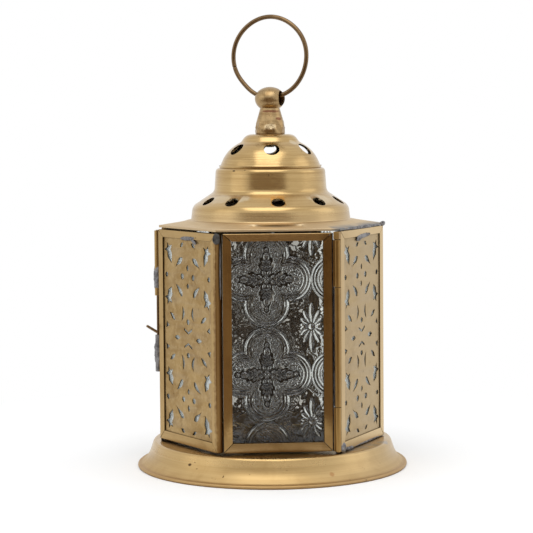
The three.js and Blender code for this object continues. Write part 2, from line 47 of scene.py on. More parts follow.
# sides of the body: turn about the axis in degrees, distance of the face from the axis in mm
glazedFace = 47.4059
piercedFace = 49.3572
sides = {
    "door_front": (0, glazedFace),
    "right_front": (60, piercedFace),
    "right_back": (120, glazedFace),
    "back": (180, piercedFace),
    "left_back": (-120, glazedFace),
    "door_side": (-60, piercedFace),
}


# working helpers

def deselectAll():
    if bpy.context.mode != "OBJECT":
        bpy.ops.object.mode_set(mode="OBJECT")
    bpy.ops.object.select_all(action="DESELECT")


def pick(piece):
    deselectAll()
    piece.select_set(True)
    bpy.context.view_layer.objects.active = piece


def newest(name):
    piece = bpy.context.object
    piece.name = name
    piece.data.name = name
    return piece


def editing(piece):
    pick(piece)
    bpy.ops.object.mode_set(mode="EDIT")
    bpy.ops.mesh.select_all(action="DESELECT")


def doneEditing():
    bpy.ops.object.mode_set(mode="OBJECT")


def selectWhere(piece, kind, test):
    mesh = bmesh.from_edit_mesh(piece.data)
    for item in getattr(mesh, kind):
        if test(item):
            item.select_set(True)
    mesh.select_flush(True)
    bmesh.update_edit_mesh(piece.data)


def addModifier(piece, kind, **values):
    pick(piece)
    modifier = piece.modifiers.new(kind.title(), kind)
    for key, value in values.items():
        setattr(modifier, key, value)
    bpy.ops.object.modifier_apply(modifier=modifier.name)


def fixPlace(piece):
    pick(piece)
    bpy.ops.object.transform_apply(location=True, rotation=True, scale=True)


def smooth(piece, angle=35):
    pick(piece)
    bpy.ops.object.shade_smooth_by_angle(angle=math.radians(angle))


def flatFaced(piece, angle=50):
    # rounded edges between faces that stay flat
    smooth(piece, angle)
    addModifier(piece, "WEIGHTED_NORMAL", weight=100, keep_sharp=True)


def joined(pieces, name):
    pick(pieces[0])
    for piece in pieces[1:]:
        piece.select_set(True)
    bpy.ops.object.join()
    return newest(name)


def ownCopy(piece, name):
    pick(piece)
    bpy.ops.object.duplicate(linked=False)
    return newest(name)


def toSide(piece, side):
    turn, faceAt = sides[side]
    angle = math.radians(turn)
    piece.rotation_euler = (0, 0, angle)
    piece.location = (math.sin(angle) * faceAt * mm, -math.cos(angle) * faceAt * mm, 0)
    fixPlace(piece)


def belongs(piece, body, slotName, material, *nodes):
    piece.data.materials.clear()
    piece.data.materials.append(material)
    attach(piece, body)
    if nodes:
        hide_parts(*nodes)


def bell(value, width):
    return math.exp(-(value / width) ** 2)


def softLine(corners, steps=6):
    # corners are [radius, height, run]; a run rounds the corner off
    points = []
    for index, (radius, height, run) in enumerate(corners):
        corner = Vector((radius, height))
        if not run:
            points.append(corner)
            continue
        start = corner + (Vector(corners[index - 1][:2]) - corner).normalized() * run
        end = corner + (Vector(corners[index + 1][:2]) - corner).normalized() * run
        for step in range(steps + 1):
            share = step / steps
            points.append(start.lerp(corner, share).lerp(corner.lerp(end, share), share))
    return points


def wallLine(points, thickness):
    # the other face of a sheet, square to the line
    inside = []
    for index, point in enumerate(points):
        along = (points[min(index + 1, len(points) - 1)] - points[max(index - 1, 0)]).normalized()
        inside.append(Vector((point.x + along.y * thickness, point.y - along.x * thickness)))
    return inside


def spun(name, line, steps, closed=True):
    # the line is drawn point by point from one vertex, then spun about the upright axis
    deselectAll()
    bpy.ops.mesh.primitive_plane_add(size=mm)
    piece = newest(name)
    bpy.ops.object.mode_set(mode="EDIT")
    bpy.ops.mesh.merge(type="CENTER")
    bpy.ops.transform.translate(value=(line[0].x * mm, 0, line[0].y * mm))
    for before, after in zip(line, line[1:]):
        step = ((after.x - before.x) * mm, 0, (after.y - before.y) * mm)
        bpy.ops.mesh.extrude_region_move(TRANSFORM_OT_translate={"value": step})
    if closed:
        bpy.ops.mesh.select_all(action="SELECT")
        bpy.ops.mesh.remove_doubles(threshold=0.000002)
    bpy.ops.mesh.select_all(action="SELECT")
    bpy.ops.mesh.spin(steps=steps, angle=2 * math.pi, center=(0, 0, 0), axis=(0, 0, 1))
    bpy.ops.mesh.select_all(action="SELECT")
    bpy.ops.mesh.remove_doubles(threshold=0.000002)
    bpy.ops.mesh.normals_make_consistent(inside=False)
    doneEditing()
    return piece


def subtract(piece, cutter):
    addModifier(piece, "BOOLEAN", operation="DIFFERENCE", object=cutter, solver="EXACT")
    bpy.data.objects.remove(cutter)


# node helpers

def addNode(tree, kind, inputs=None, **settings):
    made = tree.nodes.new("ShaderNode" + kind)
    for key, value in settings.items():
        setattr(made, key, value)
    for key, value in (inputs or {}).items():
        if isinstance(value, bpy.types.NodeSocket):
            tree.links.new(value, made.inputs[key])
        else:
            made.inputs[key].default_value = value
    return made


def calc(tree, operation, first, second=0.0, clamp=False):
    return addNode(tree, "Math", {0: first, 1: second}, operation=operation, use_clamp=clamp).outputs[0]


def blendColour(tree, share, first, second):
    mixer = addNode(tree, "Mix", {"Factor": share, "A": first, "B": second}, data_type="RGBA")
    return mixer.outputs["Result"]


def ramp(tree, value, start, end):
    # 0 below start, 1 above end
    made = addNode(tree, "MapRange", {"Value": value, "From Min": start, "From Max": end})
    return made.outputs["Result"]


def newMaterial(name):
    material = bpy.data.materials.new(name)
    material.use_nodes = True
    tree = material.node_tree
    shader = tree.nodes["Principled BSDF"]
    place = addNode(tree, "TexCoord").outputs["Object"]
    return material, tree, shader, place


# materials

def brassMaterial(name, look):
    material, tree, shader, place = newMaterial(name)
    split = addNode(tree, "SeparateXYZ", {0: place}).outputs
    flat = addNode(tree, "VectorMath", {0: place, 1: (1, 1, 0)}, operation="MULTIPLY").outputs[0]
    radius = addNode(tree, "VectorMath", {0: flat}, operation="LENGTH").outputs["Value"]
    fine = look["fineness"]
    if look["grain"] == "round":
        angle = calc(tree, "ARCTAN2", split["Y"], split["X"])
        lines = addNode(tree, "CombineXYZ", {
            0: calc(tree, "MULTIPLY", radius, fine), 1: calc(tree, "MULTIPLY", split["Z"], fine), 2: calc(tree, "MULTIPLY", angle, 1.2),
        }).outputs[0]
    else:
        stretch = {"up": (fine, fine, 25), "across": (30, 30, fine), "plain": (fine, fine, fine)}[look["grain"]]
        lines = addNode(tree, "VectorMath", {0: place, 1: stretch}, operation="MULTIPLY").outputs[0]
    grain = addNode(tree, "TexNoise", {"Vector": lines, "Scale": 1.0, "Detail": 4.0, "Roughness": 0.7}).outputs["Fac"]
    bands = addNode(tree, "TexNoise", {"Vector": lines, "Scale": 0.2, "Detail": 2.0, "Roughness": 0.5}).outputs["Fac"]
    cloud = addNode(tree, "TexNoise", {"Vector": place, "Scale": look["cloudScale"], "Detail": 5.0, "Roughness": 0.65, "Distortion": 0.6}).outputs["Fac"]
    speck = addNode(tree, "TexNoise", {"Vector": place, "Scale": 420.0, "Detail": 3.0, "Roughness": 0.6}).outputs["Fac"]
    pits = addNode(tree, "TexNoise", {"Vector": place, "Scale": 1600.0, "Detail": 2.0}).outputs["Fac"]
    dents = addNode(tree, "TexNoise", {"Vector": place, "Scale": 55.0, "Detail": 1.0}).outputs["Fac"]

    # tone: patches, turning lines, dark specks, paler towards the right (+X) side
    colour = blendColour(tree, calc(tree, "MULTIPLY", ramp(tree, cloud, 0.48, 0.72), look["patina"]), look["colour"], look["shade"])
    colour = blendColour(tree, calc(tree, "MULTIPLY", ramp(tree, bands, 0.45, 0.75), look["streak"]), colour, look["shade"])
    colour = blendColour(tree, calc(tree, "MULTIPLY", ramp(tree, grain, 0.52, 0.25), look["streak"]), colour, look["light"])
    spots = calc(tree, "MULTIPLY", ramp(tree, speck, look["spotStart"], look["spotStart"] + 0.05), look["spots"])
    colour = blendColour(tree, spots, colour, look["spotColour"])
    paleRight = calc(tree, "MULTIPLY", ramp(tree, split["X"], 0.012, 0.045), look["paleRight"])
    colour = blendColour(tree, paleRight, colour, look["paleRightColour"])

    # dirt and painted shade darken the corners through ambient occlusion, edges are rubbed bright, and soot with
    # painted shade darkens what faces the candle
    hollow = addNode(tree, "AmbientOcclusion", {"Distance": 0.003}, samples=6).outputs["AO"]
    dirtAndShade = calc(tree, "MULTIPLY", ramp(tree, hollow, look["dirtAndShadeStart"], 0.2), look["dirtAndShade"])
    colour = blendColour(tree, dirtAndShade, colour, look["dirtAndShadeColour"])
    # soot and painted shade: faces turned to the axis and the inner floor of the base go near black
    inward = addNode(tree, "VectorMath", {0: addNode(tree, "TexCoord").outputs["Normal"], 1: addNode(tree, "VectorMath", {0: flat}, operation="NORMALIZE").outputs[0]}, operation="DOT_PRODUCT").outputs["Value"]
    soot = calc(tree, "MULTIPLY", ramp(tree, inward, -0.35, -0.7), look["soot"])
    under = calc(tree, "MULTIPLY", ramp(tree, radius, 0.050, 0.043), ramp(tree, split["Z"], 0.016, 0.0135))
    soot = calc(tree, "MAXIMUM", soot, calc(tree, "MULTIPLY", under, look["plateSootAndShade"]))
    colour = blendColour(tree, soot, colour, (0.055, 0.045, 0.035, 1))
    brim = calc(tree, "MULTIPLY", ramp(tree, radius, 0.0385, 0.041), look["brimHaze"])
    colour = blendColour(tree, brim, colour, (0.60, 0.47, 0.30, 1))
    # the rolled rim of the base is darker brown; the same weight roughens the flare
    rim = calc(tree, "MULTIPLY", ramp(tree, radius, 0.0642, 0.0652), look["rimDarkening"])
    colour = blendColour(tree, rim, colour, (0.30, 0.15, 0.06, 1))
    flare = calc(tree, "MULTIPLY", ramp(tree, radius, 0.060, 0.0635), look["rimDarkening"])
    solder = addNode(tree, "Attribute", attribute_name="solder").outputs["Fac"]
    greyed = calc(tree, "MULTIPLY", solder, ramp(tree, cloud, 0.3, 0.5), clamp=True)
    colour = blendColour(tree, greyed, colour, (0.25, 0.245, 0.24, 1))
    for centre, reach, strength, stainColour in look["stains"]:
        offset = addNode(tree, "VectorMath", {0: place, 1: tuple(c * mm for c in centre)}, operation="SUBTRACT").outputs[0]
        scaled = addNode(tree, "VectorMath", {0: offset, 1: tuple(1 / (r * mm) for r in reach)}, operation="MULTIPLY").outputs[0]
        away = addNode(tree, "VectorMath", {0: scaled}, operation="LENGTH").outputs["Value"]
        ragged = calc(tree, "ADD", away, calc(tree, "MULTIPLY", speck, 0.9))
        colour = blendColour(tree, calc(tree, "MULTIPLY", ramp(tree, ragged, 1.5, 1.1), strength), colour, stainColour)
    tree.links.new(colour, shader.inputs["Base Color"])

    rough = calc(tree, "MULTIPLY_ADD", cloud, look["roughSpread"])
    tree.nodes[-1].inputs[2].default_value = look["roughness"] - look["roughSpread"] / 2
    for layer, more in ((brim, 0.4), (flare, 0.9), (spots, 0.25), (dirtAndShade, 0.2), (soot, 0.25), (greyed, 0.15), (paleRight, look["paleRightRough"])):
        rough = calc(tree, "ADD", rough, calc(tree, "MULTIPLY", layer, more), clamp=True)
    tree.links.new(rough, shader.inputs["Roughness"])
    shader.inputs["Metallic"].default_value = 1.0
    grooves = addNode(tree, "Bump", {"Height": grain, "Strength": look["grooves"], "Distance": 0.00006}).outputs[0]
    beaten = addNode(tree, "Bump", {"Height": dents, "Strength": look["dents"], "Distance": 0.0012, "Normal": grooves}).outputs[0]
    pitted = addNode(tree, "Bump", {"Height": pits, "Strength": look["pits"], "Distance": 0.00008, "Normal": beaten}).outputs[0]
    tree.links.new(pitted, shader.inputs["Normal"])
    return material


def solderMaterial(name, look):
    material, tree, shader, place = newMaterial(name)
    cloud = addNode(tree, "TexNoise", {"Vector": place, "Scale": 260.0, "Detail": 5.0, "Roughness": 0.7}).outputs["Fac"]
    lumps = addNode(tree, "TexNoise", {"Vector": place, "Scale": 700.0, "Detail": 3.0}).outputs["Fac"]
    colour = blendColour(tree, ramp(tree, cloud, 0.35, 0.65), look["light"], look["dark"])
    tree.links.new(colour, shader.inputs["Base Color"])
    tree.links.new(ramp(tree, cloud, -0.6, 1.6), shader.inputs["Roughness"])
    shader.inputs["Metallic"].default_value = 1.0
    bump = addNode(tree, "Bump", {"Height": lumps, "Strength": 0.7, "Distance": 0.0004}).outputs[0]
    tree.links.new(bump, shader.inputs["Normal"])
    return material


def glassMaterial(name, look):
    material, tree, shader, place = newMaterial(name)
    shader.inputs["Transmission Weight"].default_value = 1 - look.get("frost", 0.0)
    shader.inputs["IOR"].default_value = 1.5
    murk = addNode(tree, "TexNoise", {"Vector": place, "Scale": 90.0, "Detail": 5.0, "Roughness": 0.7}).outputs["Fac"]
    tree.links.new(calc(tree, "MULTIPLY", ramp(tree, murk, 0.35, 0.8), look["haze"]), shader.inputs["Roughness"])
    beads = addNode(tree, "TexVoronoi", {"Vector": place, "Scale": look["beadScale"]}, feature="SMOOTH_F1").outputs["Distance"]
    mask = addNode(tree, "Attribute", attribute_name="stipple").outputs["Fac"]
    height = calc(tree, "MULTIPLY", beads, mask)
    # painted shade: the hollows attribute and the gaps between the beads tint the glass near black
    hollows = addNode(tree, "Attribute", attribute_name="hollows").outputs["Fac"]
    beadShade = calc(tree, "MULTIPLY", calc(tree, "MULTIPLY", ramp(tree, beads, 0.25, 0.6), mask), 0.3)
    grey = calc(tree, "MAXIMUM", hollows, beadShade, clamp=True)
    tree.links.new(blendColour(tree, grey, look["tint"], (0.045, 0.035, 0.025, 1)), shader.inputs["Base Color"])
    ripple = addNode(tree, "TexNoise", {"Vector": place, "Scale": look["rippleScale"], "Detail": 2.0}).outputs["Fac"]
    waves = addNode(tree, "Bump", {"Height": ripple, "Strength": look["ripple"], "Distance": 0.001}).outputs[0]
    bump = addNode(tree, "Bump", {"Height": height, "Strength": look["beads"], "Distance": look["beadDepth"], "Normal": waves}).outputs[0]
    tree.links.new(bump, shader.inputs["Normal"])
    return material


darkSpot = (0.07, 0.04, 0.02, 1)
rustSpot = (0.16, 0.055, 0.03, 1)
greySmear = (0.30, 0.28, 0.27, 1)
# paler patches on the dome: painted sheen and pale wear
paleSheen = (0.66, 0.55, 0.38, 1)

spunLook = {
    "grain": "round", "fineness": 2600, "colour": (0.50, 0.342, 0.152, 1), "shade": (0.36, 0.225, 0.085, 1), "light": (0.62, 0.45, 0.22, 1),
    "spotColour": (0.06, 0.03, 0.012, 1), "cloudScale": 38.0, "patina": 0.5, "streak": 0.55, "spots": 0.75,
    "spotStart": 0.69, "roughness": 0.2, "roughSpread": 0.1, "grooves": 0.6, "dents": 0.08, "pits": 0.1,
    "paleRight": 0.3, "paleRightColour": (0.50, 0.39, 0.24, 1), "paleRightRough": 0.1, "dirtAndShade": 0.75, "dirtAndShadeStart": 0.66,
    "dirtAndShadeColour": (0.10, 0.055, 0.02, 1), "soot": 0.75, "plateSootAndShade": 0.0,
    "brimHaze": 0.0, "rimDarkening": 0.0, "stains": [],
}
frameLook = dict(
    spunLook, grain="up", fineness=1400, colour=(0.43, 0.285, 0.115, 1), shade=(0.25, 0.145, 0.045, 1), light=(0.55, 0.40, 0.20, 1),
    roughness=0.3, cloudScale=60.0, dents=0.25, streak=0.4, grooves=0.3, paleRight=0.9,
    paleRightColour=(0.66, 0.50, 0.28, 1), dirtAndShade=0.9, dirtAndShadeStart=0.8)
railLook = dict(frameLook, grain="across")
# the corner stile carries a painted dark reflection down its front-facing return
cornerLook = dict(frameLook, stains=[((-28.0, -46.2, 66), (3.0, 3.3, 95), 0.78, (0.16, 0.075, 0.02, 1))])
# door front brass; its two stains are painted dark reflection along the foot of the door and down the hinge-side stile
darkLook = dict(
    frameLook, colour=(0.40, 0.255, 0.10, 1), shade=(0.24, 0.135, 0.045, 1), light=(0.48, 0.32, 0.13, 1), roughness=0.13, roughSpread=0.08,
    grooves=0.1, dents=0.08, paleRight=0.0, patina=0.8, dirtAndShade=1.0, stains=[
        ((0, -47.4, 12.5), (90, 8, 13), 0.5, (0.18, 0.10, 0.035, 1)), ((23.5, -47.4, 66), (5.0, 6, 90), 0.5, (0.2, 0.115, 0.04, 1))])
hingeLook = dict(darkLook, colour=(0.34, 0.205, 0.07, 1), shade=(0.2, 0.105, 0.03, 1), light=(0.42, 0.27, 0.10, 1), roughness=0.3, stains=[])
# lighter than the door's stile brass: a painted highlight for the glint along the door's top rail
darkRailLook = dict(darkLook, grain="across", roughness=0.24, colour=(0.50, 0.335, 0.15, 1), light=(0.68, 0.49, 0.24, 1), grooves=0.3)
paleLook = dict(
    frameLook, grain="plain", fineness=420, colour=(0.40, 0.27, 0.115, 1), shade=(0.27, 0.165, 0.058, 1), light=(0.50, 0.365, 0.185, 1),
    roughness=0.42, streak=0.8, patina=0.9, dents=0.8, pits=0.8, cloudScale=110.0, paleRight=0.75, paleRightColour=(0.50, 0.395, 0.245, 1))
wireLook = dict(
    frameLook, grain="plain", fineness=300, colour=(0.19, 0.12, 0.06, 1), shade=(0.08, 0.045, 0.02, 1), light=(0.30, 0.20, 0.10, 1),
    roughness=0.3, cloudScale=160.0, grooves=0.0, dents=0.1, pits=0.05, paleRight=0.0, soot=0.0)
turnedLook = dict(
    spunLook, fineness=1500, colour=(0.40, 0.275, 0.135, 1), shade=(0.22, 0.125, 0.05, 1), light=(0.52, 0.38, 0.20, 1), cloudScale=110.0,
    patina=0.85, streak=0.6, roughness=0.3, grooves=0.25, dents=0.3, pits=0.6, paleRight=0.0, soot=0.0, stains=[
        ((3.5, -4.6, 171.5), (2.2, 2.2, 0.9), 0.85, rustSpot), ((-0.5, -7.0, 167.5), (3.0, 2.5, 1.8), 0.8, (0.78, 0.62, 0.38, 1)),
        ((0.0, -4.5, 175.2), (5.5, 3.5, 0.7), 0.8, rustSpot), ((-4.0, 5.0, 169.0), (2.5, 2.5, 1.5), 0.7, rustSpot)])


domeLook = dict(spunLook, brimHaze=0.8, streak=0.8, soot=0.96, stains=[
    ((-16.4, -26.3, 132.8), (7, 5, 2.2), 0.7, paleSheen),
    ((22.5, -23.5, 132.5), (9, 7, 2.6), 0.6, paleSheen), ((-25.0, -19.0, 132.5), (7, 7, 2.6), 0.5, paleSheen),
    ((10.5, -11.0, 160.0), (2.6, 2.6, 1.6), 0.6, paleSheen),
    ((-19.2, -19.0, 146.4), (1.0, 1.0, 0.5), 0.9, darkSpot), ((-11.9, -6.0, 163.6), (1.6, 1.6, 1.1), 0.95, rustSpot),
    ((-13.2, -7.6, 161.7), (1.4, 1.4, 1.5), 0.95, rustSpot), ((-14.4, -9.2, 159.8), (1.3, 1.3, 1.4), 0.95, rustSpot),
    ((-22.4, 14.0, 141.0), (1.6, 1.6, 2.2), 0.7, darkSpot), ((26.0, 8.0, 139.5), (1.0, 1.2, 0.8), 0.8, darkSpot),
])
plateLook = dict(spunLook, plateSootAndShade=0.97, rimDarkening=0.25, streak=0.45, cloudScale=70.0, roughness=0.27, dents=0.35, pits=0.25, stains=[
    ((-42.7, -43.4, 8.2), (1.3, 1.3, 0.8), 0.95, darkSpot), ((-40.3, -45.2, 9.4), (0.9, 0.9, 0.4), 0.7, darkSpot),
    ((24.0, -57.6, 5.2), (1.4, 1.4, 1.6), 0.6, (0.36, 0.17, 0.065, 1)), ((-15.0, -59.8, 6.2), (0.5, 0.5, 0.5), 0.7, darkSpot),
    ((35.8, -39.0, 13), (4.2, 3.2, 1.5), 0.8, greySmear), ((41.0, -33.5, 13), (4.0, 4.0, 1.5), 0.75, greySmear),
    ((46.6, -27.4, 13), (3.8, 4.0, 1.5), 0.7, greySmear), ((52.4, -20.8, 13), (3.6, 4.0, 1.5), 0.7, greySmear),
    ((20.0, 58.5, 8.5), (2.2, 1.6, 1.2), 0.8, darkSpot), ((-55.0, 24.0, 7.0), (1.2, 1.6, 1.4), 0.8, darkSpot),
])

spunBrass = brassMaterial("dome brass", domeLook)
plateBrass = brassMaterial("base brass", plateLook)
stileBrass = brassMaterial("stile brass", frameLook)
cornerBrass = brassMaterial("corner brass", cornerLook)
railBrass = brassMaterial("rail brass", railLook)
darkStileBrass = brassMaterial("dark stile brass", darkLook)
darkRailBrass = brassMaterial("dark rail brass", darkRailLook)
hingeBrass = brassMaterial("hinge brass", hingeLook)
piercedBrass = brassMaterial("pierced sheet", paleLook)
wireBrass = brassMaterial("wire brass", wireLook)
turnedBrass = brassMaterial("turned brass", turnedLook)
solderMetal = solderMaterial("solder", {"light": (0.33, 0.32, 0.32, 1), "dark": (0.12, 0.115, 0.12, 1)})
# near black: a dark solder blob, and painted shade in the hinge gap
darkSolderAndGapShade = solderMaterial("dark solder", {"light": (0.11, 0.105, 0.10, 1), "dark": (0.012, 0.011, 0.01, 1)})
plainSteel = solderMaterial("steel", {"light": (0.55, 0.55, 0.55, 1), "dark": (0.35, 0.35, 0.36, 1)})
pressedGlass = glassMaterial("pressed glass", {
    "tint": (0.98, 1.0, 0.99, 1), "haze": 0.03, "beadScale": 1300.0, "beads": 1.0, "beadDepth": 0.0006, "ripple": 0.1, "rippleScale": 160.0,
})
# the back pane's dark tint is painted shade for the dark inside of the lantern
shadeGlass = glassMaterial("sooty glass", {
    "tint": (0.42, 0.41, 0.38, 1), "haze": 0.3, "beadScale": 600.0, "beads": 0.8, "beadDepth": 0.0005, "ripple": 0.5, "rippleScale": 260.0,
})
smokedGlass = glassMaterial("smoked glass", {
    "tint": (0.82, 0.84, 0.81, 1), "haze": 0.1, "beadScale": 1300.0, "beads": 1.0, "beadDepth": 0.0006, "ripple": 0.1, "rippleScale": 160.0,
})
backingGlass = glassMaterial("mottled glass", {
    "tint": (0.88, 0.93, 0.91, 1), "frost": 0.42, "haze": 0.3, "beadScale": 600.0, "beads": 0.8, "beadDepth": 0.0005, "ripple": 0.5, "rippleScale": 260.0,
})
print("materials made")


# camera

camera = {
    "distance": 0.9, "heading": -4.12, "elevation": 2.85, "roll": -0.41, "aimHeight": 0.12589,
    "lens": 122.64, "shiftX": -0.0078, "shiftY": -0.1043,
}


def setCamera(values):
    data = bpy.data.cameras.new("camera")
    data.lens = values["lens"]
    data.sensor_width = 36
    data.shift_x = values["shiftX"]
    data.shift_y = values["shiftY"]
    eye = bpy.data.objects.new("camera", data)
    bpy.context.scene.collection.objects.link(eye)
    heading = math.radians(values["heading"])
    lift = math.radians(values["elevation"])
    away = Vector((math.sin(heading) * math.cos(lift), -math.cos(heading) * math.cos(lift), math.sin(lift)))
    eye.location = Vector((0, 0, values["aimHeight"])) + away * values["distance"]
    turn = (-away).to_track_quat("-Z", "Y").to_matrix()
    eye.rotation_euler = (turn @ Matrix.Rotation(math.radians(values["roll"]), 3, "Z")).to_euler()
    bpy.context.scene.camera = eye


setCamera(camera)


# stage: pale floor, white surroundings, soft lamps and the dark card behind the camera

stage = {
    "floorSize": 8.0, "floorColour": (0.93, 0.935, 0.94, 1), "worldStrength": 0.92,
    "fadeStart": 0.10, "fadeEnd": 0.26,
    "cardHalfWidth": 0.79, "cardTurn": -11, "cardTop": 0.42, "cardBack": -1.02, "cardFront": -0.175, "cardColour": (0.25, 0.183, 0.125, 1),
    "lamps": [
        {"name": "overhead", "place": (-0.1, -0.45, 1.1), "size": 0.95, "power": 4.5},
        {"name": "left", "place": (-1.2, -0.3, 0.6), "size": 0.8, "power": 0.8},
        {"name": "right", "place": (1.2, -0.1, 0.7), "size": 0.8, "power": 1.2},
    ],
}


def whiteRays(tree):
    # rays that meet the white background: from the camera, and through or off metal and glass
    path = addNode(tree, "LightPath").outputs
    seen = calc(tree, "MAXIMUM", path["Is Camera Ray"], path["Is Transmission Ray"])
    return calc(tree, "MAXIMUM", seen, path["Is Glossy Ray"])


def makeStage(values):
    deselectAll()
    bpy.ops.mesh.primitive_plane_add(size=values["floorSize"])
    floor = newest("floor")
    paint, tree, shader, place = newMaterial("floor paint")
    grain = addNode(tree, "TexNoise", {"Vector": place, "Scale": 6.0, "Detail": 4.0}).outputs["Fac"]
    shade = blendColour(tree, ramp(tree, grain, 0.3, 0.8), values["floorColour"], tuple(c * 0.985 for c in values["floorColour"][:3]) + (1,))
    tree.links.new(shade, shader.inputs["Base Color"])
    shader.inputs["Roughness"].default_value = 0.9
    # away from the lantern the floor runs into the white background
    away = addNode(tree, "VectorMath", {0: place}, operation="LENGTH").outputs["Value"]
    faded = calc(tree, "MULTIPLY", ramp(tree, away, values["fadeStart"], values["fadeEnd"]), whiteRays(tree))
    white = addNode(tree, "Emission", {"Color": (1, 1, 1, 1), "Strength": 1.0})
    mixed = addNode(tree, "MixShader", {0: faded, 1: shader.outputs[0], 2: white.outputs[0]})
    tree.links.new(mixed.outputs[0], tree.nodes["Material Output"].inputs["Surface"])
    floor.data.materials.append(paint)
    # the card lies on the floor in front of the picture and stands up behind the camera
    bpy.ops.mesh.primitive_plane_add(size=1)
    card = newest("dark_card")
    card.scale = (2 * values["cardHalfWidth"], values["cardFront"] - values["cardBack"], 1)
    card.location = (0, (values["cardFront"] + values["cardBack"]) / 2, 0.001)
    fixPlace(card)
    editing(card)
    bpy.ops.mesh.select_mode(type="EDGE")
    selectWhere(card, "edges", lambda edge: all(vert.co.y < values["cardBack"] + 0.001 for vert in edge.verts))
    bpy.ops.mesh.extrude_region_move(TRANSFORM_OT_translate={"value": (0, 0, values["cardTop"])})
    bpy.ops.mesh.select_mode(type="VERT")
    doneEditing()
    card.rotation_euler = (0, 0, math.radians(values["cardTurn"]))
    fixPlace(card)
    paint, tree, shader, place = newMaterial("card")
    shader.inputs["Base Color"].default_value = values["cardColour"]
    shader.inputs["Roughness"].default_value = 1.0
    card.data.materials.append(paint)
    card.visible_camera = False
    card.visible_diffuse = False
    card.visible_shadow = False
    for lamp in values["lamps"]:
        data = bpy.data.lights.new(lamp["name"], "AREA")
        data.energy = lamp["power"]
        data.size = lamp["size"]
        light = bpy.data.objects.new(lamp["name"], data)
        bpy.context.scene.collection.objects.link(light)
        light.location = lamp["place"]
        light.rotation_euler = (Vector((0, 0, 0.1)) - light.location).to_track_quat("-Z", "Y").to_euler()
    world = bpy.data.worlds.new("studio")
    bpy.context.scene.world = world
    world.use_nodes = True
    tree = world.node_tree
    background = tree.nodes["Background"]
    strength = addNode(tree, "Mix", {"Factor": whiteRays(tree), "A": values["worldStrength"], "B": 1.0}, data_type="FLOAT").outputs["Result"]
    background.inputs["Color"].default_value = (1, 1, 1, 1)
    tree.links.new(strength, background.inputs["Strength"])
    bpy.context.scene.view_settings.view_transform = "Standard"


makeStage(stage)
print("stage and camera ready")


# base, dome, cup and finial: spun and turned pieces

base = {
    "height": 13.0, "plateRadius": 57.5, "plateEdge": 1.3, "skirtRadius": 61.6, "skirtHeight": 4.6, "skirtBend": 3.5,
    "rimRadius": 65.9, "rimRoll": 0.95, "rimSeat": 0.57, "wall": 0.8, "steps": 180,
}


def makeBase(values):
    seatHeight = math.sqrt(values["rimRoll"] ** 2 - values["rimSeat"] ** 2)
    outside = softLine([
        (0, values["height"], 0),
        (20, values["height"], 0),
        (values["plateRadius"] - 8, values["height"], 0),
        (values["plateRadius"] - 2, values["height"], 0),
        (values["plateRadius"] + values["plateEdge"], values["height"], values["plateEdge"]),
        (values["skirtRadius"], values["skirtHeight"], values["skirtBend"]),
        (values["rimRadius"] - values["rimRoll"], seatHeight + values["rimRoll"], 0),
    ])
    rim = []
    start, end = math.radians(108), -math.acos(values["rimSeat"] / values["rimRoll"])
    for step in range(15):
        turn = start + (end - start) * step / 14
        rim.append(Vector((values["rimRadius"] + values["rimRoll"] * math.cos(turn), seatHeight + values["rimRoll"] * math.sin(turn))))
    foot = [Vector((values["rimRadius"] - values["rimRoll"], 0))]
    inside = wallLine(outside, values["wall"])[::-1]
    inside[-1].x = 0
    line = outside + rim + foot + inside
    piece = spun("base", line, values["steps"])
    smooth(piece, 40)
    belongs(piece, "lantern", "spun_brass", plateBrass, "base_pan")
    return piece


dome = {
    "foot": 118.5, "wall": 0.8, "brimStart": 42.0, "steps": 180,
    "vents": [((-2, 58, 118, 178, 254, 298), 19.4, 3.8), ((2, 39, 71, 108, 144, 172, 216, 250, 294, 323), 34.3, 3.3)],
    "capCorners": [
        (2.3, 164, 0), (7.5, 164.0, 0), (11.9, 163.8, 2.6), (14.3, 160.2, 0.9), (21.6, 156.2, 6.4), (24.6, 148.8, 0.55),
        (25.15, 147.75, 0.1),
    ],
    "seamCorners": [(24.75, 147.65, 0.05), (24.75, 147.4, 0.05)],
    "drumCorners": [
        (27.0, 147.4, 2.1), (27.8, 135.8, 1.9), (38.6, 128.7, 2.2), (39.4, 122.0, 0.8), (42.5, 121.53, 0), (48, 120.71, 0),
        (55.4, 119.6, 0.35), (55.4, 118.5, 0.2), (54.9, 118.5, 0),
    ],
    "halfAngle": 32,
}


def brimReach(turn):
    # share of the corner radius that the hexagonal brim reaches in a direction, degrees from the front
    turn = (turn + dome["halfAngle"]) % 120 - dome["halfAngle"]
    if turn <= dome["halfAngle"]:
        return math.cos(math.radians(dome["halfAngle"])) / math.cos(math.radians(turn))
    return math.cos(math.radians(60 - dome["halfAngle"])) / math.cos(math.radians(turn - 60))


